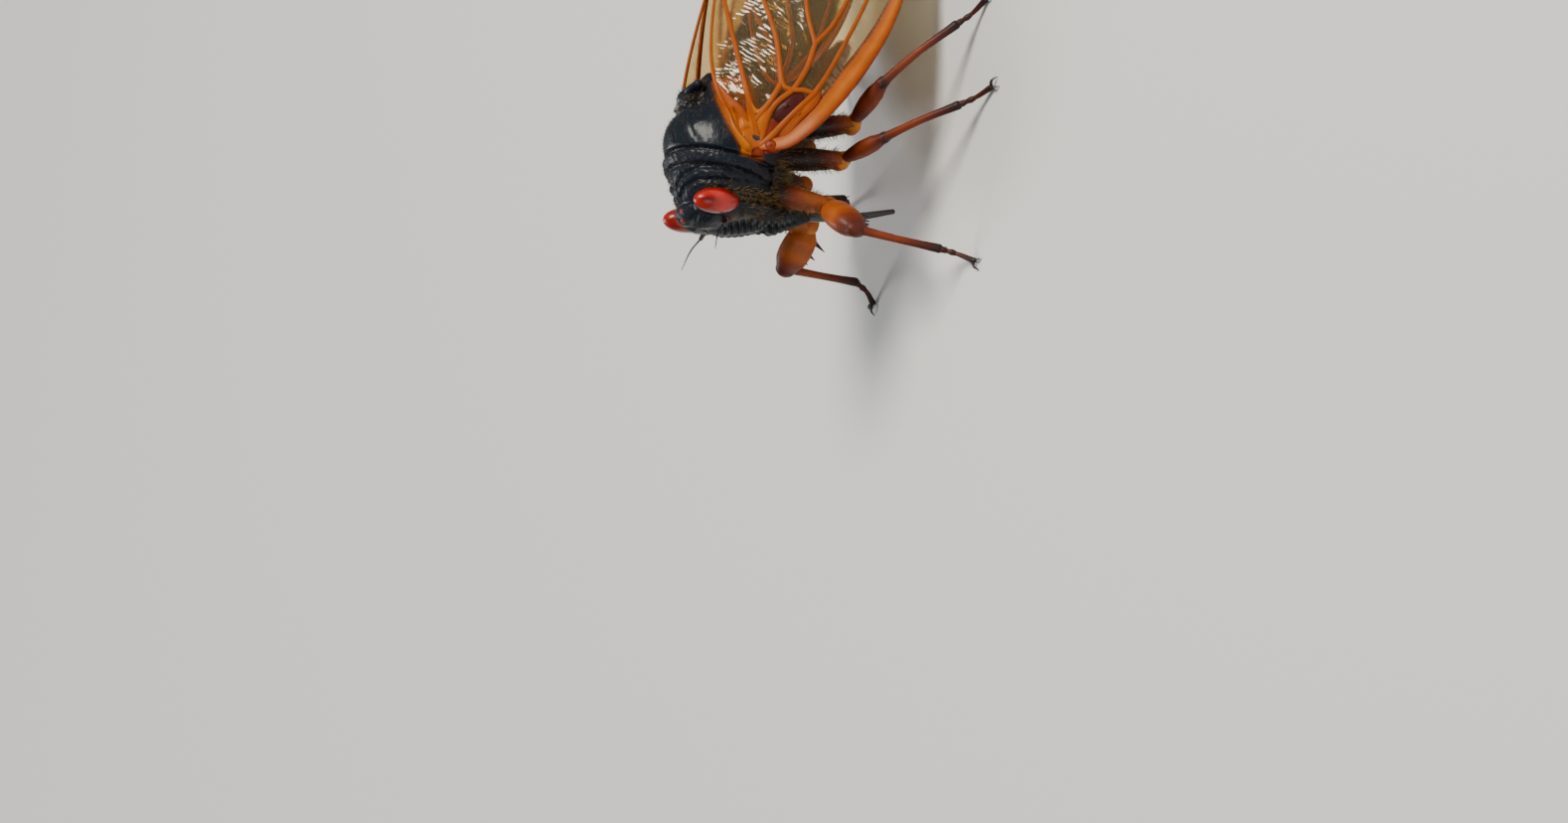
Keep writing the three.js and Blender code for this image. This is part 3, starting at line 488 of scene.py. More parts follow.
FACE_CENTRE, FACE_TURN = (4.3, 0, -1.0), 0.22
points, faces = ellipsoid(FACE_CENTRE, (2.2, 2.15, 4.1), FACE_TURN, 48, 56)
core.add(turn_head(points), faces, BLACK)
for side in (1, -1):
    brow = turn_head([(4.9, side * 1.9, 0.8), (5.65, side * 2.35, 0.9)])
    core.add(*tube(brow, [0.9, 0.55])[:2], BLACK)
    cheek = turn_head([(4.5, side * 1.6, -0.6), (5.0, side * 1.5, -3.0), (4.8, side * 0.5, -5.2)])
    core.add(*tube(cheek, [1.3, 0.95, 0.5])[:2], BLACK)
    for x, y, z in ((-3.25, 1.55, 3.3), (-4.95, 1.3, 2.5)):
        core.add(*tube([(-4.1, side * 0.15, 3.15), (x, side * y, z)], [0.6, 0.5, 0.36])[:2], BLACK)
muzzle = turn_head([(5.0, 0, -3.5), (4.85, 0, -5.2), (4.75, 0, -6.5)])
core.add(*tube(muzzle, [1.45, 0.95, 0.45])[:2], BLACK)
body = core.piece("body")

VOXEL = 0.085


def fuse(piece, voxel):
    """One closed skin from shells that cut through each other."""
    bpy.ops.object.select_all(action="DESELECT")
    piece.select_set(True)
    bpy.context.view_layer.objects.active = piece
    modifier = piece.modifiers.new("fuse", "REMESH")
    modifier.mode = "VOXEL"
    modifier.voxel_size = voxel * MM
    modifier.use_smooth_shade = True
    bpy.ops.object.modifier_apply(modifier=modifier.name)
    smooth = piece.modifiers.new("soften", "SMOOTH")
    smooth.factor = 0.5
    smooth.iterations = 8
    bpy.ops.object.modifier_apply(modifier=smooth.name)


def read_points(piece):
    flat = np.empty(len(piece.data.vertices) * 3)
    piece.data.vertices.foreach_get("co", flat)
    normals = np.empty(len(flat))
    piece.data.vertices.foreach_get("normal", normals)
    return (flat.reshape(-1, 3) - origin) / MM, normals.reshape(-1, 3)


def write_points(piece, points):
    piece.data.vertices.foreach_set("co", to_scene(points).ravel())
    piece.data.update()


fuse(body, VOXEL)
print("body points", len(body.data.vertices))


# %% Press in the seams
def band(value, middle, width):
    return np.exp(-(((value - middle) / width) ** 2))


def gate(value, low, high, soft=0.25):
    """Near 1 between low and high, and 0 outside."""
    rise = 1 / (1 + np.exp(-(value - low) / (soft / 4)))
    fall = 1 / (1 + np.exp((value - high) / (soft / 4)))
    return rise * fall


def line_distance(p, q, route):
    """Distance of places (p, q) from a polyline."""
    best = np.full(len(p), 1e9)
    for (a0, a1), (b0, b1) in zip(route[:-1], route[1:]):
        dx, dy = b0 - a0, b1 - a1
        t = np.clip(((p - a0) * dx + (q - a1) * dy) / (dx * dx + dy * dy), 0, 1)
        best = np.minimum(best, np.hypot(p - a0 - t * dx, q - a1 - t * dy))
    return best


points, normals = read_points(body)
x, y, z = points.T
wide = np.abs(y)
in_head = turn_head(points, back=True)
hx, hy, hz = in_head.T
head_wide = np.abs(hy)
upper = gate(z, -1.9, 9)
straight_x = x - COLLAR_LEAN * (COLLAR_TOP - z)
note = gate(straight_x, 0.45, 9) * gate(x, -9, 4.3) * upper
depth = np.zeros(len(points))
depth += 0.32 * band(straight_x, 0.38, 0.15) * gate(z, -2.4, 9)
depth += 0.16 * band(straight_x, 1.66, 0.16) * upper * gate(x, -9, 4.2)
depth += 0.26 * band(hx, 4.42, 0.17) * gate(z, -3.6, 9)
depth += 0.26 * band(z, -1.95, 0.15) * gate(straight_x, 0.4, 9) * gate(x, -9, 4.3) * gate(wide, 2.0, 9)
depth += 0.2 * band(z, 0.7, 0.15) * gate(x, -6, 9) * gate(straight_x, -9, 0.3)
for route in (
    [(4.0, 0.5), (3.4, 1.3), (3.1, 2.6), (3.4, 3.9)],
    [(3.1, 0.45), (2.5, 1.5), (2.2, 3.0), (2.6, 4.5)],
):
    depth += 0.2 * band(line_distance(x, wide, route), 0, 0.18) * note
depth += 0.08 * band(wide, 0, 0.12) * gate(x, 1.5, 4.2) * upper
for route in (
    [(-0.3, 1.2), (-1.6, 1.0), (-2.8, 0.6)],
    [(-0.3, 2.9), (-2.0, 2.3), (-3.6, 1.5)],
):
    depth += 0.05 * band(line_distance(x, wide, route), 0, 0.12) * upper
depth += 0.38 * np.exp(-(((x + 4.1) / 0.42) ** 2 + ((wide - 1.15) / 0.42) ** 2)) * gate(z, 1, 9)
depth += 0.3 * band(x + 0.25 * wide, -2.75, 0.2) * gate(wide, -1, 2.1, 0.8) * gate(z, 2, 9)
depth += 0.10 * band(head_wide, 0, 0.1) * gate(hx, 4.5, 5.3) * gate(hz, 2.0, 9)
depth += 0.16 * band(line_distance(hx, head_wide, [(6.25, 0), (5.9, 1.2), (5.5, 2.1)]), 0, 0.14) * gate(hz, 1.4, 9)
depth -= 0.10 * np.exp(-(((hx - 5.1) / 0.5) ** 2 + ((head_wide - 0.8) / 0.5) ** 2)) * gate(hz, 2.4, 9)
depth += 0.10 * band(line_distance(hx, head_wide, [(4.5, 1.9), (5.2, 2.0), (5.6, 2.3)]), 0, 0.2) * gate(hz, 1.8, 9)
for route in ([(2.4, -2.0), (1.9, -3.4), (1.5, -5.2)], [(-0.4, 0.6), (-0.9, -2.0), (-1.9, -5.4)], [(0.9, -2.0), (-3.4, -2.8)]):
    depth += 0.2 * band(line_distance(x, z, route), 0, 0.16) * gate(z, -6, 0.6) * gate(wide, 2.2, 9)

# The swollen face carries cross ridges that rise on either side of a smooth middle line.
axis = np.array([math.sin(FACE_TURN), 0, math.cos(FACE_TURN)])
low = (in_head - np.array(FACE_CENTRE)) @ axis
RIDGES, RIDGE_STEP, RIDGE_RISE = 11, 0.52, 0.11
front = gate(hx, 4.85, 9) * gate(low, -4.1, 2.2) * gate(head_wide, 0.3, 2.05, 0.4)
ridge = np.cos(2 * np.pi * (low - 0.25 * head_wide) / RIDGE_STEP)
depth -= RIDGE_RISE * ridge * front
depth += 0.08 * band(head_wide, 0, 0.3) * gate(hx, 5.4, 9) * gate(low, -4, 1.6)
rough = np.array([noise.noise(Vector(p * 1.1)) for p in points])
fine = np.array([noise.noise(Vector(p * 3.1)) for p in points])
depth += 0.04 * rough + 0.05 * fine * (0.2 + note)
lobe = note * gate(z, -1.8, 1.6, 0.8)
depth += 0.09 * lobe * np.sin(3.0 * z + 2.2 * x + 1.5 * rough)
write_points(body, points - normals * depth[:, None])

# %% Body colours
INK = np.array([0.0045, 0.006, 0.010])
# The slate blue below is a painted sky reflection, laid on the top of head and thorax.
SKY_SHEEN_BLUE = np.array([0.007, 0.011, 0.018])
BROWN = np.array([0.016, 0.008, 0.005])
AMBER = np.array([0.10, 0.028, 0.005])
FLAME = np.array([0.44, 0.10, 0.001])
paint = np.tile(INK, (len(points), 1))


def blend_in(paint, colour, share):
    return paint * (1 - share[:, None]) + np.asarray(colour) * share[:, None]


# Painted reflection: the top of the head and thorax is blended towards slate blue, standing in for the sky's sheen on
# the back.
back = gate(z, 0.6, 9, 2.0)
paint = blend_in(paint, SKY_SHEEN_BLUE, back)
pleura = gate(z, -7, -2.0, 1.2) * gate(x, -6.5, 4.4)
paint = blend_in(paint, BROWN, pleura * 0.7)
socket = np.exp(-((hx - 5.5) ** 2 + (head_wide - 2.45) ** 2 + (hz - 0.5) ** 2) / 0.2)
paint = blend_in(paint, AMBER, np.clip(socket, 0, 1))
shoulder_line = np.interp(x, [-6, -4.6, -3, -1.6, -0.3, 0.9], [1.2, 1.5, 1.8, 1.7, 1.35, 0.7])
shoulder = gate(z, -0.9, 20, 0.5) * gate(z - shoulder_line, -20, 0, 0.3) * gate(wide, 1.2, 9)
shoulder *= gate(x, -5.4, 9) * gate(straight_x, -9, 0.3)
paint = blend_in(paint, FLAME, shoulder)
dull = 1.0 + 0.2 * note - 0.2 * gate(straight_x, -9, 0.4) * back + 0.7 * pleura
paint_on(body.data, np.column_stack([paint, dull]))
finish(body, skin_finish, "cuticle", "head", "pronotum", "mesonotum", "thorax_underside")

# %% [markdown]
# ## Eyes
# The compound eyes are red and look wet. A sphere primitive is squashed to the size of the
# solid and leans with the head; the facets are far too small to model and live in the bump.


# %% Eyes
def eye_material():
    material = bpy.data.materials.new("eye red")
    material.use_nodes = True
    tree = material.node_tree
    shader = tree.nodes["Principled BSDF"]
    coords = tree.nodes.new("ShaderNodeTexCoord").outputs["Object"]
    facets = tree.nodes.new("ShaderNodeTexVoronoi")
    facets.inputs["Scale"].default_value = 22000
    tree.links.new(coords, facets.inputs["Vector"])
    cloud = tree.nodes.new("ShaderNodeTexNoise")
    cloud.inputs["Scale"].default_value = 700
    tree.links.new(coords, cloud.inputs["Vector"])
    ramp = tree.nodes.new("ShaderNodeValToRGB")
    ramp.color_ramp.elements[0].color = (0.17, 0.002, 0.001, 1)
    ramp.color_ramp.elements[0].position = 0.3
    ramp.color_ramp.elements[1].color = (0.45, 0.010, 0.004, 1)
    ramp.color_ramp.elements[1].position = 0.7
    tree.links.new(cloud.outputs["Fac"], ramp.inputs["Fac"])
    # The eye's brightness is read from the points and carries the painted pupil shade and the painted lighter ring.
    shade = tree.nodes.new("ShaderNodeAttribute")
    shade.attribute_name = "cover"
    tint = tree.nodes.new("ShaderNodeHueSaturation")
    tree.links.new(ramp.outputs["Color"], tint.inputs["Color"])
    tree.links.new(shade.outputs["Fac"], tint.inputs["Value"])
    tree.links.new(tint.outputs["Color"], shader.inputs["Base Color"])
    bump = tree.nodes.new("ShaderNodeBump")
    bump.inputs["Distance"].default_value = 0.006 * MM
    tree.links.new(facets.outputs["Distance"], bump.inputs["Height"])
    tree.links.new(bump.outputs["Normal"], shader.inputs["Normal"])
    shader.inputs["Roughness"].default_value = 0.3
    shader.inputs["Specular IOR Level"].default_value = 0.3
    shader.inputs["Coat Weight"].default_value = 0.35
    shader.inputs["Coat Roughness"].default_value = 0.06
    return material


def set_down(piece):
    """Puts a piece's place, turn and size into its mesh."""
    bpy.ops.object.select_all(action="DESELECT")
    piece.select_set(True)
    bpy.context.view_layer.objects.active = piece
    bpy.ops.object.transform_apply(location=True, rotation=True, scale=True)


eye_finish = eye_material()
EYE_RADII = (0.98, 1.14, 1.84)
for name, side in (("left", 1), ("right", -1)):
    centre = turn_head(np.array(EYE_PLACE) * (1, side, 1))
    bpy.ops.object.select_all(action="DESELECT")
    bpy.ops.mesh.primitive_uv_sphere_add(segments=64, ring_count=40, radius=MM, location=to_scene(centre))
    eye = bpy.context.object
    eye.name = f"eye_{name}_lens"
    eye.scale = EYE_RADII
    eye.rotation_euler = (HEAD_TURN @ Matrix.Rotation(side * -0.12, 3, "X")).to_euler()
    set_down(eye)
    eye.data.shade_smooth()
    places, outward = read_points(eye)
    # Painted shade and highlight: a dark spot where the eye faces out, forward and up, standing in for the
    # pseudo-pupil, and a lighter ring around it.
    toward_side = outward @ unit((0.3, side * 0.88, 0.36))
    painted_pupil_shade = np.exp(-((1 - toward_side) / 0.05) ** 2)
    painted_rim_highlight = np.exp(-((toward_side - 0.72) / 0.16) ** 2)
    paint_on(eye.data, np.column_stack([np.ones((len(places), 3)), 0.9 - 0.5 * painted_pupil_shade + 0.35 * painted_rim_highlight]))
    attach(eye, "root")
    finish(eye, eye_finish, "eyes", f"eye_{name}")
bpy.ops.object.select_all(action="DESELECT")
for index, spot in enumerate(((5.0, 0.75, 3.78), (5.0, -0.75, 3.78), (5.55, 0, 3.52))):
    bpy.ops.mesh.primitive_uv_sphere_add(segments=24, ring_count=16, radius=0.24 * MM, location=to_scene(turn_head(spot)))
    ocellus = bpy.context.object
    ocellus.name = f"ocellus_{index + 1}"
    set_down(ocellus)
    ocellus.data.shade_smooth()
    paint_on(ocellus.data, np.ones((len(ocellus.data.vertices), 4)))
    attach(ocellus, "root")
    finish(ocellus, eye_finish, "eyes")
print("eyes and ocelli done")

# %% [markdown]
# ## Abdomen
# Eight rings overlap like roof tiles: each stands out a little at its hind edge and then drops
# to the next. The tip closes them with a short cone.

# %% Abdomen
SLOPE = math.radians(27)
ABDOMEN_LENGTH = 14.2
abdomen_root = np.array([-5.6, 0, -3.1])
abdomen_rows = [(0, 3.0, 3.3), (0.15, 3.2, 3.55), (0.4, 3.25, 3.65), (0.65, 2.9, 3.3), (0.85, 2.1, 2.4), (0.95, 1.35, 1.55), (1.0, 0.95, 1.1)]
SEGMENTS, RINGS_EACH, AROUND = 8, 14, 96
rows = np.array(abdomen_rows)
count = SEGMENTS * RINGS_EACH
points, paint = [], []
turn = np.linspace(0, 2 * np.pi, AROUND, endpoint=False)
for i in range(count + 1):
    share = i / count
    half, deep = np.interp(share, rows[:, 0], rows[:, 1]), np.interp(share, rows[:, 0], rows[:, 2])
    within = (i % RINGS_EACH) / RINGS_EACH
    edge = 0.15 * min(within * 1.6, 1) if within < 0.93 else 0.0
    middle = abdomen_root + ABDOMEN_LENGTH * share * np.array([-math.cos(SLOPE), 0, -math.sin(SLOPE)])
    middle[2] += 1.3 * share**2
    up = np.sin(turn)
    across = np.cos(turn) * (half + edge) * (1 - 0.25 * np.maximum(up, 0))
    points.append(np.stack([np.full(AROUND, middle[0]), across, middle[2] + up * (deep + edge)], axis=1))
    tone = blend_in(np.tile(INK, (AROUND, 1)), (0.10, 0.035, 0.008), np.full(AROUND, 0.5 * (0.8 < within < 0.93)))
    paint.append(np.column_stack([tone, np.full(AROUND, 1.1)]))
faces = []
for r in range(count):
    for k in range(AROUND):
        n = (k + 1) % AROUND
        faces.append((r * AROUND + k, (r + 1) * AROUND + k, (r + 1) * AROUND + n, r * AROUND + n))
faces.append(tuple(range(AROUND)))
faces.append(tuple(range((count + 1) * AROUND - 1, count * AROUND - 1, -1)))
abdomen = Shells()
abdomen.add(np.vstack(points), faces, np.vstack(paint))
tip_start = abdomen_root + ABDOMEN_LENGTH * 0.9 * np.array([-math.cos(SLOPE), 0, -math.sin(SLOPE)])
tip_start[2] += 1.1
tip_path = [tip_start, tip_start + (-1.3, 0, -0.8), tip_start + (-2.6, 0, -1.45)]
abdomen.add(*tube(tip_path, [1.35, 1.15, 0.75, 0.35], 32, 24)[:2], (*INK, 1.0))
abdomen = abdomen.piece("abdomen_rings")
finish(abdomen, skin_finish, "abdomen", "abdomen", "abdomen_tip")
for name, side in (("left", 1), ("right", -1)):
    plate = Shells()
    plate.add(*tube([(-5.5, side * 2.1, -7.0), (-8.3, side * 1.9, -9.2)], [1.0, 1.45, 0.9], 24, 24, flat=0.8)[:2], (0.16, 0.06, 0.015, 1.0))
    finish(plate.piece(f"operculum_{name}_plate"), skin_finish, "abdomen", f"operculum_{name}")

# %% [markdown]
# ## Legs
# Each leg is a chain of hard tubes that fit into each other: coxa, trochanter, femur, tibia,
# three tarsal joints and two claws. The chain is swept along the same hips, knees and ankles
# as the solids, and the colours run along each tube.

# %% Legs
DARK = (0.016, 0.006, 0.005)
RUST = (0.18, 0.026, 0.003)
ORANGE = (0.36, 0.072, 0.002)
TAN = (0.30, 0.066, 0.006)
PALE = (0.50, 0.18, 0.02)
MAROON = (0.085, 0.011, 0.004)
leg_rows = {
    "fore_left": dict(side=1, root=(3.7, 2.3, -3.2), hip=(4.7, 3.1, -7.1), knee=(7.4, 6.9, -7.6), ankle=(9.3, 9.6, -13.2), toe=(10.6, 11.5)),
    "fore_right": dict(side=-1, root=(3.7, 2.3, -3.2), hip=(4.7, 2.8, -7.8), knee=(7.4, 5.5, -6.9), ankle=(7.8, 6.6, -13.2), toe=(9.1, 7.7)),
    "mid_left": dict(side=1, root=(1.0, 2.6, -4.0), hip=(1.2, 4.0, -7.9), knee=(0.5, 8.2, -9.6), ankle=(-0.9, 13.4, -13.6), toe=(-1.6, 16.2)),
    "mid_right": dict(side=-1, root=(1.0, 2.6, -4.0), hip=(1.1, 3.9, -7.9), knee=(0.9, 8.4, -8.0), ankle=(0.3, 9.4, -13.7), toe=(0.2, 11.9)),
    "hind_left": dict(side=1, root=(-1.4, 2.6, -4.8), hip=(-1.6, 4.5, -8.7), knee=(-3.7, 8.7, -9.5), ankle=(-7.2, 13.5, -13.7), toe=(-8.5, 15.9)),
    "hind_right": dict(side=-1, root=(-1.7, 2.6, -4.8), hip=(-2.2, 4.4, -8.6), knee=(-4.8, 7.7, -9.9), ankle=(-9.2, 10.4, -13.7), toe=(-11.3, 12.6)),
}
TOE = FLOOR + 0.22


def toned(shares, colours):
    tones = spread(colours, shares)
    return np.column_stack([tones, np.ones(len(shares))])


def add_limb(shells, path, radii, colours, **how):
    points, faces, shares = tube(path, radii, **how)
    shells.add(points, faces, toned(shares, colours))


for name, row in leg_rows.items():
    side = row["side"]
    root, hip, knee, ankle = (np.array(row[key]) * (1, side, 1) for key in ("root", "hip", "knee", "ankle"))
    toe = np.array([row["toe"][0], side * row["toe"][1], TOE])
    fore = name.startswith("fore")
    thigh = [ORANGE, ORANGE, TAN, ORANGE, RUST, MAROON] if fore else [RUST, MAROON, RUST, RUST, MAROON]
    upper = [DARK, RUST, TAN, ORANGE] if fore else [DARK, DARK, DARK, MAROON, TAN]
    leg = Shells()
    add_limb(leg, [root, hip], [1.05, 1.12, 0.98, 0.78], upper, flat=0.8, up=(1, 0, 0.2), count=30)
    way = unit(knee - hip)
    add_limb(leg, [hip - way * 0.4, hip + way * 0.35], [0.72, 0.78, 0.6], [ORANGE, PALE], count=10)
    shin = unit(ankle - knee)
    across = unit(np.cross(way, shin))
    girth = [0.75, 1.26, 1.36, 1.37, 1.26, 0.85] if fore else [0.45, 0.7, 0.84, 0.8, 0.52]
    add_limb(leg, [hip + way * 0.2, knee], girth, thigh, flat=0.78, up=across, sides=24, count=32)
    add_limb(leg, [knee - shin * 0.2, knee + shin * 0.5], [0.44, 0.47, 0.36], [DARK, DARK, MAROON], count=10)
    bow = (knee + ankle) / 2 + (0, 0, 0.25)
    add_limb(leg, [knee, bow, ankle], [0.38, 0.32, 0.29, 0.3, 0.36], [MAROON, RUST, RUST, MAROON, DARK], count=36)
    if fore:
        inward = unit(np.cross(np.cross(way, shin), way))
        for share, length in ((0.24, 1.5), (0.42, 0.5), (0.52, 1.0), (0.7, 0.6), (0.8, 0.35)):
            start = hip + (knee - hip) * share + inward * 0.75
            end = start + unit(inward + 0.45 * way) * (length + 0.35)
            add_limb(leg, [start, end], [0.28 if length > 0.55 else 0.16, 0.03], [DARK, DARK], sides=10, count=8)
    for twist in (-1, 1):
        spur = unit(shin + twist * 0.5 * unit(np.cross(shin, (0, 0, 1))))
        add_limb(leg, [ankle, ankle + spur * 0.6], [0.09, 0.02], [DARK, DARK], sides=8, count=5)
    heel = ankle + (toe - ankle) * 0.45
    heel[2] = ankle[2] + (toe[2] - ankle[2]) * 0.6
    foot = curve_through([ankle, heel, toe], 40)
    for start, stop, radii in ((0, 9, [0.2, 0.27, 0.2]), (9, 17, [0.18, 0.26, 0.2]), (17, 39, [0.17, 0.2, 0.22, 0.25])):
        add_limb(leg, foot[start : stop + 1 : 2], radii, [MAROON, DARK], sides=12, count=14)
    nodes = [f"{part}_{name}" for part in ("coxa", "femur", "tibia", "tarsus")]
    finish(leg.piece(f"leg_{name}"), leg_finish, "legs", *nodes)
    claws = Shells()
    ahead = unit((toe - heel) * (1, 1, 0))
    aside = np.array([-ahead[1], ahead[0], 0])
    for twist in (-1, 1):
        middle = toe + ahead * 0.5 + aside * twist * 0.3 + (0, 0, 0.12)
        tip = toe + ahead * 0.9 + aside * twist * 0.42 + (0, 0, 0.03 - 0.22)
        add_limb(claws, [toe, middle, tip], [0.14, 0.11, 0.03], [DARK, DARK], sides=10, count=12)
    finish(claws.piece(f"claws_{name}"), claw_finish, "feet")
print("legs done")

# %% [markdown]
# ## Feelers and beak
# The feelers are two stout joints and a bristle. The beak is a straight black rod that lies
# between the fore legs and holds the piercing needles.

# %% Feelers and beak
for name, side in (("left", 1), ("right", -1)):
    feeler = Shells()
    root = turn_head((5.5, side * 2.25, 0.9))
    knee = turn_head((5.85, side * 2.55, 1.0))
    reach = unit(np.array(HEAD_TURN) @ (0.8, side * 0.46, 0.42))
    add_limb(feeler, [root, knee], [0.34, 0.27], [AMBER, DARK], count=8)
    add_limb(feeler, [knee - reach * 0.1, knee + reach * 0.6], [0.2, 0.16], [DARK, DARK], count=8)
    middle = knee + reach * 1.7 + (0, 0, 0.2)
    add_limb(feeler, [knee + reach * 0.5, middle, knee + reach * 3.4], [0.09, 0.06, 0.025], [INK, INK], sides=10, count=30)
    finish(feeler.piece(f"feeler_{name}"), claw_finish, "feelers", f"antenna_{name}")
beak = Shells()
beak_path = turn_head([(4.75, 0, -6.2), (4.6, 0, -10.0), (3.98, 0, -13.5)])
add_limb(beak, beak_path, [0.46, 0.36, 0.3, 0.2], [INK, INK, DARK], sides=20, count=40)
finish(beak.piece("beak"), claw_finish, "cuticle", "rostrum")

# %% [markdown]
# ## Wings
# A wing is drawn flat, with u from the hinge and v towards the leading edge, and is laid on
# the same curved sheet as its solid. The clear sheet is a fine grid between the two edges; it
# sags between the veins and is finely pleated. The veins are tubes that thin towards the tip.

# %% Wing sheet
HINGE = np.array([0.9, 4.95, -0.8])
ALONG = unit((-0.907, 0.036, -0.419))
WING_UP = unit(np.cross(ALONG, (-0.206, 0.83, 0.517)))
WING_NORMAL = unit(np.cross(WING_UP, ALONG))
CAMBER = 1.7
SPACING = 1.62


def on_sheet(u, v, height, depth, side):
    t = np.clip((u + 0.5) / 4.5, 0, 1)
    rise = t * t * (3 - 2 * t)
    camber = CAMBER * rise * (1 - ((v + 1.8) / 7.4) ** 2)
    lift = camber + height - depth
    places = HINGE + np.outer(u, ALONG) + np.outer(v, WING_UP) + np.outer(lift, WING_NORMAL)
    return places * (1, side, 1)


fore_plan = dict(
    top=[(0, 0), (0.7, 2.3), (3.0, 4.1), (7.0, 5.3), (11.3, 5.9), (15.5, 5.8), (20.5, 4.8), (24.5, 3.7), (28.2, 2.0), (31.2, 0.4), (33.9, -1.6), (35.8, -4.1), (36.2, -5.6)],
    bottom=[(0, 0), (0.9, -2.1), (3.5, -4.8), (7.0, -6.7), (12.6, -8.5), (17.6, -9.2), (21.4, -9.3), (25.2, -9.25), (28.2, -9.05), (31.2, -8.6), (33.5, -8.0), (35.3, -7.0), (36.2, -5.6)],
    band=8,
    band_radius=[0.62, 0.85, 0.95, 0.95, 0.8, 0.6, 0.4, 0.24, 0.12],
    band_inset=[0.2, 0.62, 0.75, 0.78, 0.6, 0.42, 0.28, 0.14, 0.02],
    veins=[
        [(0, 0), (1.8, 1.2), (4.9, 2.7), (9.0, 3.3), (14.7, 3.6), (18.6, 3.1)],
        [(18.6, 3.1), (20.5, 4.8)],
        [(18.6, 3.1), (23.5, 2.6), (28.2, 2.0)],
        [(18.6, 3.1), (22.0, 1.7), (25.4, 0.75)],
        [(25.4, 0.75), (28.4, 0.65), (31.2, 0.4)],
        [(25.4, 0.75), (24.9, -0.6)],
        [(0, 0), (2.5, 0.1), (4.6, 1.2)],
        [(4.6, 1.2), (4.9, 2.0), (4.9, 2.7)],
        [(4.6, 1.2), (6.6, 1.5), (8.8, 1.35)],
        [(8.8, 1.35), (11.0, 2.05), (14.4, 2.2), (19.5, 1.1), (24.9, -0.6)],
        [(24.9, -0.6), (29.5, -0.95), (33.9, -1.6)],
        [(24.9, -0.6), (26.1, -2.3)],
        [(26.1, -2.3), (31.0, -2.9), (35.8, -4.1)],
        [(26.1, -2.3), (24.4, -4.1)],
        [(8.8, 1.35), (12.0, -0.6), (18.5, -2.8), (24.4, -4.1)],
        [(24.4, -4.1), (30.0, -5.2), (35.3, -7.0)],
        [(24.4, -4.1), (22.6, -5.6)],
        [(22.6, -5.6), (27.0, -6.8), (31.2, -8.6)],
        [(22.6, -5.6), (20.0, -6.1)],
        [(4.6, 1.2), (4.9, 0.2), (8.4, -1.7), (12.8, -5.2)],
        [(12.8, -5.2), (16.4, -5.4), (20.0, -6.1)],
        [(20.0, -6.1), (22.8, -7.4), (25.2, -9.25)],
        [(12.8, -5.2), (15.2, -7.2), (17.6, -9.2)],
        [(0, 0), (1.6, -0.9), (6.0, -3.9), (12.6, -8.5)],
        [(1.6, -0.9), (3.2, -0.1), (4.9, 0.2)],
    ],
)
hind_plan = dict(
    top=[(5.2, -0.5), (6.8, 0.8), (10.4, 1.9), (15.0, 1.9), (19.5, 0.6), (21.6, -0.7), (22.8, -2.4), (22.9, -3.0)],
    bottom=[(5.2, -0.5), (5.8, -1.8), (8.4, -3.9), (11.8, -5.8), (13.8, -6.5), (16.0, -6.8), (18.8, -6.6), (21.2, -5.6), (22.6, -4.2), (22.9, -3.0)],
    band=5,
    band_radius=[0.25, 0.32, 0.26, 0.12],
    band_inset=[0.1, 0.15, 0.1, 0.0],
    veins=[
        [(5.2, -0.5), (9.0, 0.8), (14.6, 0.5)],
        [(14.6, 0.5), (17.2, 0.8), (19.5, 0.6)],
        [(14.6, 0.5), (15.9, -1.2)],
        [(15.9, -1.2), (19.5, -1.6), (22.8, -2.4)],
        [(15.9, -1.2), (16.2, -3.4)],
        [(16.2, -3.4), (19.0, -4.2), (21.2, -5.6)],
        [(5.2, -0.5), (9.0, -0.9), (13.0, -2.9), (16.2, -3.4)],
        [(13.0, -2.9), (14.9, -4.8), (16.0, -6.8)],
        [(5.2, -0.5), (7.8, -1.9), (11.8, -5.8)],
    ],
)
VEIN_ORANGE = (0.37, 0.072, 0.0)
VEIN_RED = (0.21, 0.024, 0.0)
# Pale orange: the wing base's own colour, and a painted highlight stripe on the costal band.
VEIN_PALE_AND_HIGHLIGHT = (0.48, 0.125, 0.0)
VEIN_BROWN = (0.15, 0.032, 0.003)
CRIMSON = (0.10, 0.008, 0.001)
GARNET = (0.055, 0.006, 0.004)


def vein_radius(u):
    return 0.10 + 0.18 * np.exp(-np.asarray(u) / 12.0)


def wing_grid(plan, columns, rows):
    """Places (u, v) that fill the wing between its two edges, and how near a vein is."""
    top = curve_through(plan["top"], 300)
    bottom = curve_through(plan["bottom"], 300)
    start, stop = plan["top"][0][0] + 0.02, plan["top"][-1][0] - 0.02
    us = start + (stop - start) * np.linspace(0, 1, columns) ** 1.3
    high, low = np.interp(us, top[:, 0], top[:, 1]), np.interp(us, bottom[:, 0], bottom[:, 1])
    u = np.repeat(us, rows)
    v = (low[:, None] + (high - low)[:, None] * np.linspace(0, 1, rows)).ravel()
    near = np.full(len(u), 9.0)
    for line in [curve_through(vein, 40) for vein in plan["veins"]] + [top, bottom]:
        for p in line[::2]:
            near = np.minimum(near, np.hypot(u - p[0], v - p[1]))
    return u, v, near


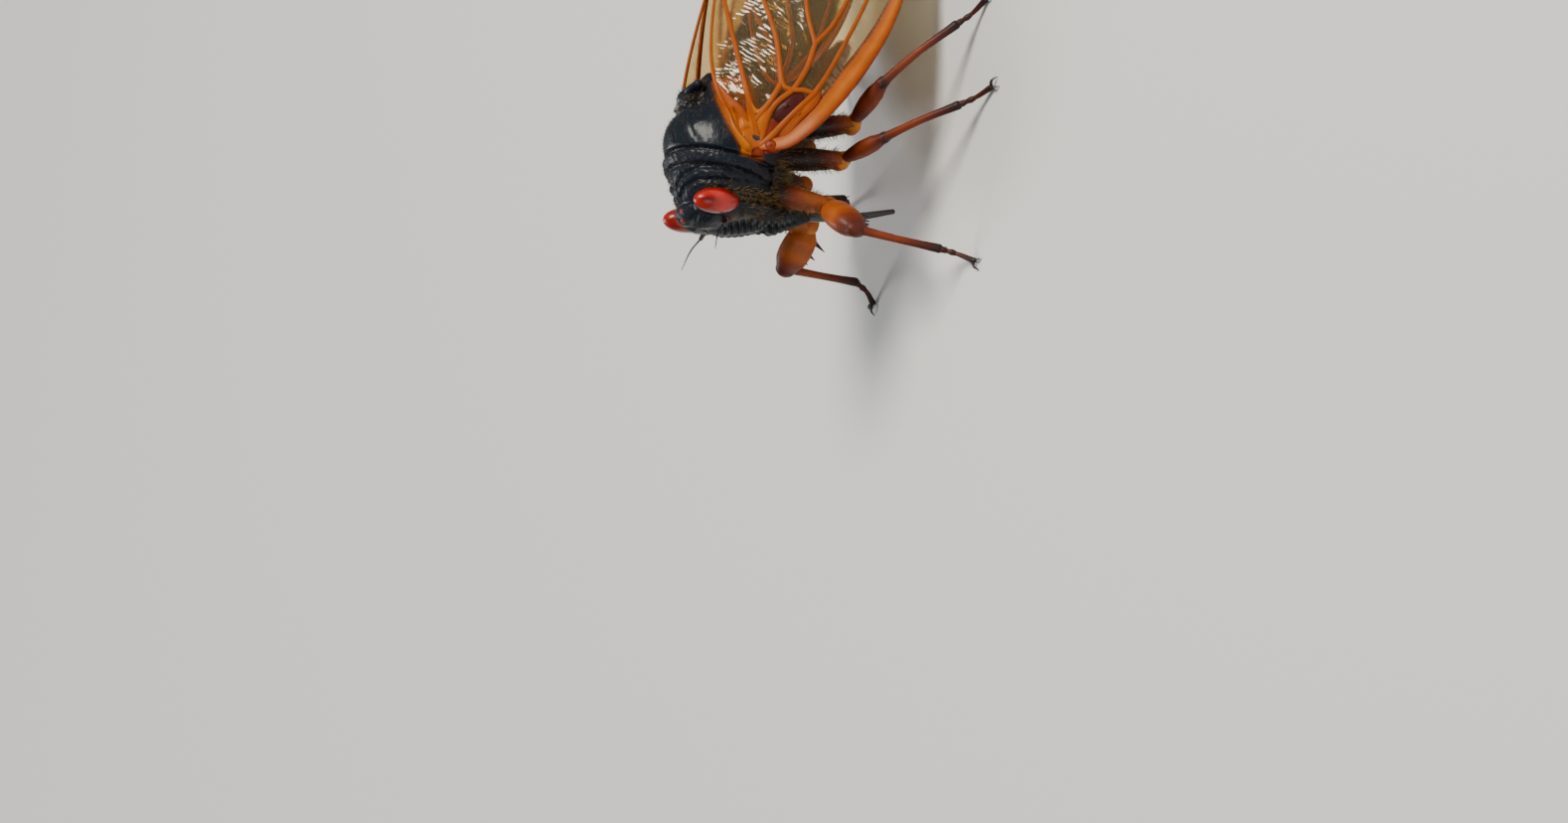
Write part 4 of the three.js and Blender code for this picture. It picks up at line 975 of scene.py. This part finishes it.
def build_membrane(name, plan, side, depth, columns, rows):
    u, v, near = wing_grid(plan, columns, rows)
    open_part = 1 - np.exp(-((near / 0.5) ** 2))
    wobble = np.array([noise.noise(Vector((a * 0.45, b * 0.45, 3.0 * side))) for a, b in zip(u, v)])
    patch = np.array([noise.noise(Vector((a * 1.5, b * 1.1, 7.0 + side))) for a, b in zip(u, v)])
    fold = (u + 0.45 * v + 0.9 * wobble + 0.2 * patch) / 0.36
    fade = np.exp(-np.maximum(u - 9, 0) / 10.0)
    pleat = np.sin(2 * np.pi * fold) * np.clip(0.45 + 1.7 * patch, 0.06, 1.2) * (0.35 + 0.65 * fade)
    height = open_part * (-0.06 + 0.034 * pleat + 0.12 * wobble)
    points = on_sheet(u, v, height, depth, side)
    amber = np.exp(-np.maximum(u - 2, 0) / 9.0)
    tone = blend_in(np.tile((0.86, 0.76, 0.47), (len(u), 1)), (0.80, 0.47, 0.12), amber)
    faces = []
    for c in range(columns - 1):
        for r in range(rows - 1):
            face = (c * rows + r, (c + 1) * rows + r, (c + 1) * rows + r + 1, c * rows + r + 1)
            faces.append(face if side > 0 else face[::-1])
    sheet = add_piece(f"{name}_membrane", points, faces, np.column_stack([tone, np.ones(len(u))]))
    thicken(sheet, 0.03)
    finish(sheet, membrane_finish, "wings")


def thicken(piece, thickness):
    bpy.ops.object.select_all(action="DESELECT")
    piece.select_set(True)
    bpy.context.view_layer.objects.active = piece
    wall = piece.modifiers.new("wall", "SOLIDIFY")
    wall.thickness = thickness * MM
    wall.offset = 0
    bpy.ops.object.modifier_apply(modifier=wall.name)


def add_ribbon(shells, path, half_widths, flat, up, colours, sides=28):
    """A flattened tube whose colours run across it, from one edge to the other."""
    points, faces, _ = tube(path, half_widths, sides=sides, count=len(path), flat=flat, up=up)
    across = np.tile(np.cos(np.linspace(0, 2 * np.pi, sides, endpoint=False)), len(points) // sides)
    shells.add(points, faces, toned((across + 1) / 2, colours))


def add_plate(shells, outline, rise, lift, depth, side, colour, rim):
    """A domed plate inside a smooth outline drawn on the wing's sheet."""
    closed = curve_through(list(outline) + [outline[0]], 49)[:-1]
    middle = closed.mean(axis=0)
    count = len(closed)
    points, paint = [], []
    layers = [(share, 1) for share in (0.02, 0.35, 0.6, 0.8, 0.93, 1.0)] + [(1.0, -1), (0.6, -1), (0.02, -1)]
    for share, face in layers:
        ring = middle + (closed - middle) * share
        height = lift + (rise * (1 - share**2) ** 0.5 if face > 0 else -0.06)
        points.append(on_sheet(ring[:, 0], ring[:, 1], height, depth, side))
        # Towards the outline the colour turns to the rim colour; on most plates this darker rim is painted crease
        # shade, partly the wing base's own dark red.
        mix = share**3
        tone = np.array(colour) * (1 - mix) + np.array(rim) * mix
        paint.append(np.tile([*tone, 1.0], (count, 1)))
    faces = []
    for r in range(len(layers) - 1):
        for k in range(count):
            n = (k + 1) % count
            faces.append((r * count + k, r * count + n, (r + 1) * count + n, (r + 1) * count + k))
    faces.append(tuple(range(count)))
    faces.append(tuple(range(len(layers) * count - 1, (len(layers) - 1) * count - 1, -1)))
    area = np.cross(closed, np.roll(closed, -1, axis=0)).sum()
    if (area > 0) == (side > 0):
        faces = [face[::-1] for face in faces]
    shells.add(np.vstack(points), faces, np.vstack(paint))


def build_veins(name, plan, side, depth, nodes):
    frame_shells = Shells()
    for vein in plan["veins"]:
        length = np.linalg.norm(np.diff(np.array(vein), axis=0), axis=1).sum()
        centre = curve_through(vein, max(5, int(length / 0.35)))
        path = on_sheet(centre[:, 0], centre[:, 1], 0.02, depth, side)
        radii = vein_radius(np.interp(np.linspace(0, 1, 5), np.linspace(0, 1, len(centre)), centre[:, 0]))
        tints = [np.array(VEIN_ORANGE) * (1 - t) + np.array(VEIN_BROWN) * t for t in np.clip((centre[[0, -1], 0] - 8) / 40, 0, 1)]
        add_limb(frame_shells, path, radii, tints, sides=10, count=len(centre))
    steps = 120
    edge = curve_through(plan["top"][: plan["band"]], steps)
    inset = spread(plan["band_inset"], np.linspace(0, 1, steps))
    inward = np.gradient(edge, axis=0)
    inward = np.column_stack([inward[:, 1], -inward[:, 0]]) / np.linalg.norm(inward, axis=1)[:, None]
    line = edge + inward * inset[:, None]
    path = on_sheet(line[:, 0], line[:, 1], 0.04, depth, side)
    # Painted highlight and shade across the costal band: the pale stripe near the middle is a painted highlight along
    # its crest; the dark red edges are partly its own red margin and partly painted shade.
    colours = [VEIN_RED, VEIN_ORANGE, VEIN_PALE_AND_HIGHLIGHT, VEIN_ORANGE, VEIN_ORANGE, VEIN_RED]
    add_ribbon(frame_shells, path[1:], plan["band_radius"], 0.24, WING_NORMAL * (1, side, 1), colours)
    rim = np.vstack([curve_through(plan["bottom"], 200), curve_through(plan["top"][plan["band"] - 2 :], 60)[::-1]])
    path = on_sheet(rim[:, 0], rim[:, 1], 0.0, depth, side)
    rim_tints = [VEIN_ORANGE, VEIN_ORANGE, VEIN_BROWN, VEIN_BROWN, VEIN_BROWN]
    add_limb(frame_shells, path[::2], [0.17, 0.12, 0.1, 0.1, 0.12], rim_tints, sides=8, count=220)
    finish(frame_shells.piece(f"{name}_veins"), vein_finish, "wings", *nodes)


def oval(centre, half_u, half_v, turn=0.0):
    angles = np.linspace(0, 2 * np.pi, 10, endpoint=False)
    u, v = half_u * np.cos(angles), half_v * np.sin(angles)
    c, s = math.cos(turn), math.sin(turn)
    return [(centre[0] + c * a - s * b, centre[1] + s * a + c * b) for a, b in zip(u, v)]


# Each row is an outline, a rise, a colour and a rim colour; the darker rims are partly painted crease shade.
BASE_PLATES = [
    ([(1.5, -3.7), (0.5, -3.3), (-0.4, -2.4), (-0.75, -1.2), (-0.7, 0.2), (0.0, 1.3), (1.2, 1.6), (2.1, 0.9),
      (2.0, -0.1), (2.4, -1.2), (2.3, -2.8)], 0.06, VEIN_RED, CRIMSON),
    ([(0.25, -1.0), (0.75, -1.9), (2.0, -3.5), (3.6, -4.8), (2.9, -3.4), (2.2, -1.9), (1.3, -0.9)],
     0.15, VEIN_ORANGE, VEIN_RED),
    ([(0.6, -1.1), (1.6, -1.5), (3.4, -2.2), (2.4, -0.9), (3.2, -0.1), (1.6, 0.2), (0.7, 0.2)],
     0.18, VEIN_PALE_AND_HIGHLIGHT, VEIN_ORANGE),
    ([(2.0, 0.55), (2.7, 0.45), (3.6, 0.95), (4.5, 1.5), (4.4, 2.2), (3.4, 2.0), (2.0, 1.25)], 0.2, GARNET, GARNET),
    ([(1.2, 1.1), (3.4, 2.1), (5.6, 2.95), (4.3, 3.3), (2.4, 2.5), (0.6, 1.7)], 0.08, VEIN_ORANGE, VEIN_RED),
    (oval((0.4, -0.5), 0.5, 1.15), 0.24, CRIMSON, VEIN_RED),
    (oval((0.42, -0.55), 0.27, 0.72), 0.36, (0.045, 0.035, 0.05), (0.03, 0.015, 0.02)),
    (oval((-0.5, -0.35), 0.45, 1.0), 0.3, VEIN_RED, CRIMSON),
    (oval((0.2, 0.95), 0.5, 0.7), 0.3, VEIN_RED, CRIMSON),
]

for name, side in (("left", 1), ("right", -1)):
    build_membrane(f"forewing_{name}", fore_plan, side, 0, 560, 84)
    build_veins(f"forewing_{name}", fore_plan, side, 0, [f"forewing_{name}"])
    build_membrane(f"hindwing_{name}", hind_plan, side, SPACING, 260, 56)
    build_veins(f"hindwing_{name}", hind_plan, side, SPACING, [f"hindwing_{name}"])
    base = Shells()
    for outline, rise, colour, rim in BASE_PLATES:
        add_plate(base, outline, rise, 0.05, 0, side, colour, rim)
    strip = np.array([(-4.6, 1.75, 1.4), (-2.9, 3.2, 1.5), (-1.6, 4.15, 1.35), (-0.3, 4.6, 1.1), (1.0, 4.95, 0.3)])
    add_limb(base, strip * (1, side, 1), [0.16, 0.3, 0.38, 0.42, 0.5], [VEIN_RED, VEIN_ORANGE, VEIN_PALE_AND_HIGHLIGHT], flat=0.5)
    finish(base.piece(f"wing_base_{name}"), vein_finish, "wings")
print("wings done")

# %% [markdown]
# ## Hairs
# Golden hairs stand in the seams, behind the eyes, on the hips and along the abdomen. Each is a
# thin tapered spike of ten faces. They grow from points of the skin, and their UV map holds one
# small patch for each hair at its root's place on an unrolled skin.


# %% Hairs
HAIR_DARK = np.array([0.055, 0.026, 0.008])
HAIR_GOLD = np.array([0.40, 0.23, 0.05])
PATCH = 0.003
draw = np.random.default_rng(23)


def grow_hairs(name, roots, normals, lie, lengths, unrolled, stand=0.6, radius=0.02):
    """One mesh of tapered hairs that lean the way the coat lies."""
    count = len(roots)
    way = normals * stand + np.asarray(lie) * (1 - stand) + draw.normal(0, 0.22, (count, 3))
    way /= np.linalg.norm(way, axis=1)[:, None]
    side = np.cross(way, draw.normal(0, 1, (count, 3)))
    side /= np.linalg.norm(side, axis=1)[:, None]
    other = np.cross(way, side)
    reach = np.asarray(lengths)[:, None]
    middle = roots + way * reach * 0.5
    bent = way + np.asarray(lie) * 0.35
    tip = middle + bent / np.linalg.norm(bent, axis=1)[:, None] * reach * 0.5
    start = roots - normals * 0.06
    spots = np.empty((count, 7, 3))
    for k, angle in enumerate((0, 2 * math.pi / 3, 4 * math.pi / 3)):
        ring = math.cos(angle) * side + math.sin(angle) * other
        spots[:, k] = start + ring * radius
        spots[:, 3 + k] = middle + ring * radius * 0.7
    spots[:, 6] = tip
    one = [(2, 1, 0)] + [(k, (k + 1) % 3, 3 + (k + 1) % 3, 3 + k) for k in range(3)]
    one += [(3 + k, 3 + (k + 1) % 3, 6) for k in range(3)]
    faces = [tuple(7 * i + v for v in face) for i in range(count) for face in one]
    mix = draw.random(count)[:, None] ** 0.6
    tone = HAIR_GOLD * (1 - mix) + HAIR_DARK * mix
    paint = np.column_stack([np.repeat(tone, 7, axis=0), np.ones(7 * count)])
    piece = add_piece(name, spots.reshape(-1, 3), faces, paint)
    corner = np.array([(0, 0), (0.5, 0), (1, 0), (0, 0.5), (0.5, 0.5), (1, 0.5), (0.5, 1)]) * PATCH
    places = (np.asarray(unrolled)[:, None, :] + corner[None]).reshape(-1, 2)
    loops = np.empty(len(piece.data.loops), int)
    piece.data.loops.foreach_get("vertex_index", loops)
    layer = piece.data.uv_layers.new(name="OFBake")
    layer.data.foreach_set("uv", places[loops].ravel())
    return piece


def unroll(points, low, high, middle):
    """Unrolls a long skin: along x, and round its middle line."""
    along = (points[:, 0] - low) / (high - low)
    around = np.arctan2(points[:, 2] - middle, points[:, 1]) / (2 * math.pi) + 0.5
    return np.column_stack([np.clip(along, 0, 1), np.clip(around, 0, 1)]) * (1 - PATCH)


def pick(weights, count):
    """Chooses places with the given weights."""
    return draw.choice(len(weights), size=count, replace=False, p=weights / weights.sum())


points, normals = read_points(body)
x, y, z = points.T
wide = np.abs(y)
hx, hy, hz = turn_head(points, back=True).T
behind_eye = band(line_distance(x, z, [(4.0, 2.6), (4.3, 0.5), (4.35, -1.5), (4.2, -3.2)]), 0, 0.35) * gate(wide, 1.9, 9)
cheek = gate(hx, 4.5, 5.7) * gate(hz, -3.6, 0.2) * gate(np.abs(hy), 1.6, 9)
flank = gate(z, -7, -2.0, 0.5) * gate(x, -6.3, 4.3) * (0.35 + 0.65 * (np.sin(3.1 * x + 1.7 * z) > 0.1))
rear = gate(x, -7, -2.9) * gate(z, 0.8, 9)
weights = 1.2 * behind_eye + 0.5 * cheek + 0.6 * flank + 0.12 * rear
chosen = pick(weights, 4200)
lengths = 0.35 + 0.4 * draw.random(len(chosen)) + 0.3 * behind_eye[chosen] - 0.1 * rear[chosen]
coat = grow_hairs("hair_thorax", points[chosen], normals[chosen], (-0.35, 0, -0.7), lengths, unroll(points[chosen], -7, 7, -1), 0.5, 0.016)
finish(coat, hair_finish, "cuticle")
fuzz = gate(z, 0.8, 9) * gate(x, -5.5, 6.5)
chosen = pick(fuzz, 1500)
lengths = 0.16 + 0.2 * draw.random(len(chosen))
coat = grow_hairs("hair_back", points[chosen], normals[chosen], (-0.8, 0, 0), lengths, unroll(points[chosen], -7, 7, -1), 0.75, 0.012)
finish(coat, hair_finish, "cuticle")

points, normals = read_points(abdomen)
sparse = gate(points[:, 0], -20, -6.4) * (0.4 + 0.6 * gate(points[:, 2], -20, -4, 1))
chosen = pick(sparse, 3400)
lengths = 0.28 + 0.3 * draw.random(len(chosen))
coat = grow_hairs("hair_abdomen", points[chosen], normals[chosen], (-0.85, 0, -0.4), lengths, unroll(points[chosen], -22, -5, -7), 0.35, 0.018)
finish(coat, hair_finish, "abdomen")

for index, (name, row) in enumerate(leg_rows.items()):
    side = row["side"]
    root, hip = (np.array(row[key]) * (1, side, 1) for key in ("root", "hip"))
    way = unit(hip - root)
    level = unit(np.cross(way, (0.2, 0, 1)))
    raised = np.cross(level, way)
    count = 420
    share = draw.random(count) ** 1.1 * 0.92
    angle = draw.random(count) * 2 * math.pi
    outward = np.cos(angle)[:, None] * level + np.sin(angle)[:, None] * raised
    girth = np.interp(share, [0, 0.35, 0.7, 1], [1.0, 1.0, 0.9, 0.72])
    roots = root + np.outer(share, hip - root) + outward * girth[:, None] * 0.88
    lengths = 0.3 + 0.45 * draw.random(count)
    unrolled = np.column_stack([(index + share * 0.9) / 6, angle / (2 * math.pi) * (1 - PATCH)])
    coat = grow_hairs(f"hair_{name}", roots, outward, way * 0.9, lengths, unrolled, 0.5)
    finish(coat, hair_finish, "legs")

# %% [markdown]
# ## Light and floor
# A plain pale floor and large soft lights, as for a small object on a studio table.

# %% Floor, world and lights
bpy.ops.object.select_all(action="DESELECT")
bpy.ops.mesh.primitive_plane_add(size=4, location=(0, 0, -0.00002))
floor = bpy.context.object
floor.name = "floor"
floor_finish = bpy.data.materials.new("pale floor")
floor_finish.use_nodes = True
floor_finish.node_tree.nodes["Principled BSDF"].inputs["Base Color"].default_value = (0.80, 0.80, 0.77, 1)
floor_finish.node_tree.nodes["Principled BSDF"].inputs["Roughness"].default_value = 0.8
floor.data.materials.append(floor_finish)

world = bpy.data.worlds.new("studio")
bpy.context.scene.world = world
world.use_nodes = True
world.node_tree.nodes["Background"].inputs["Color"].default_value = (0.9, 0.94, 1.0, 1)
world.node_tree.nodes["Background"].inputs["Strength"].default_value = 0.21


def add_light(name, way, distance, size, power, colour):
    at = Vector(way).normalized() * distance
    bpy.ops.object.light_add(type="AREA", location=at)
    light = bpy.context.object
    light.name = name
    light.data.shape = "DISK"
    light.data.size = size
    light.data.energy = power
    light.data.color = colour
    light.rotation_euler = (-at).to_track_quat("-Z", "Y").to_euler()


add_light("key", (-0.6, 0.55, 1.2), 0.6, 0.26, 4.2, (1, 0.95, 0.86))
add_light("fill", (0.9, 0.9, 0.45), 0.7, 0.4, 0.9, (0.92, 0.95, 1))
add_light("rim", (0.1, -0.9, 0.8), 0.7, 0.3, 1.8, (1, 1, 1))
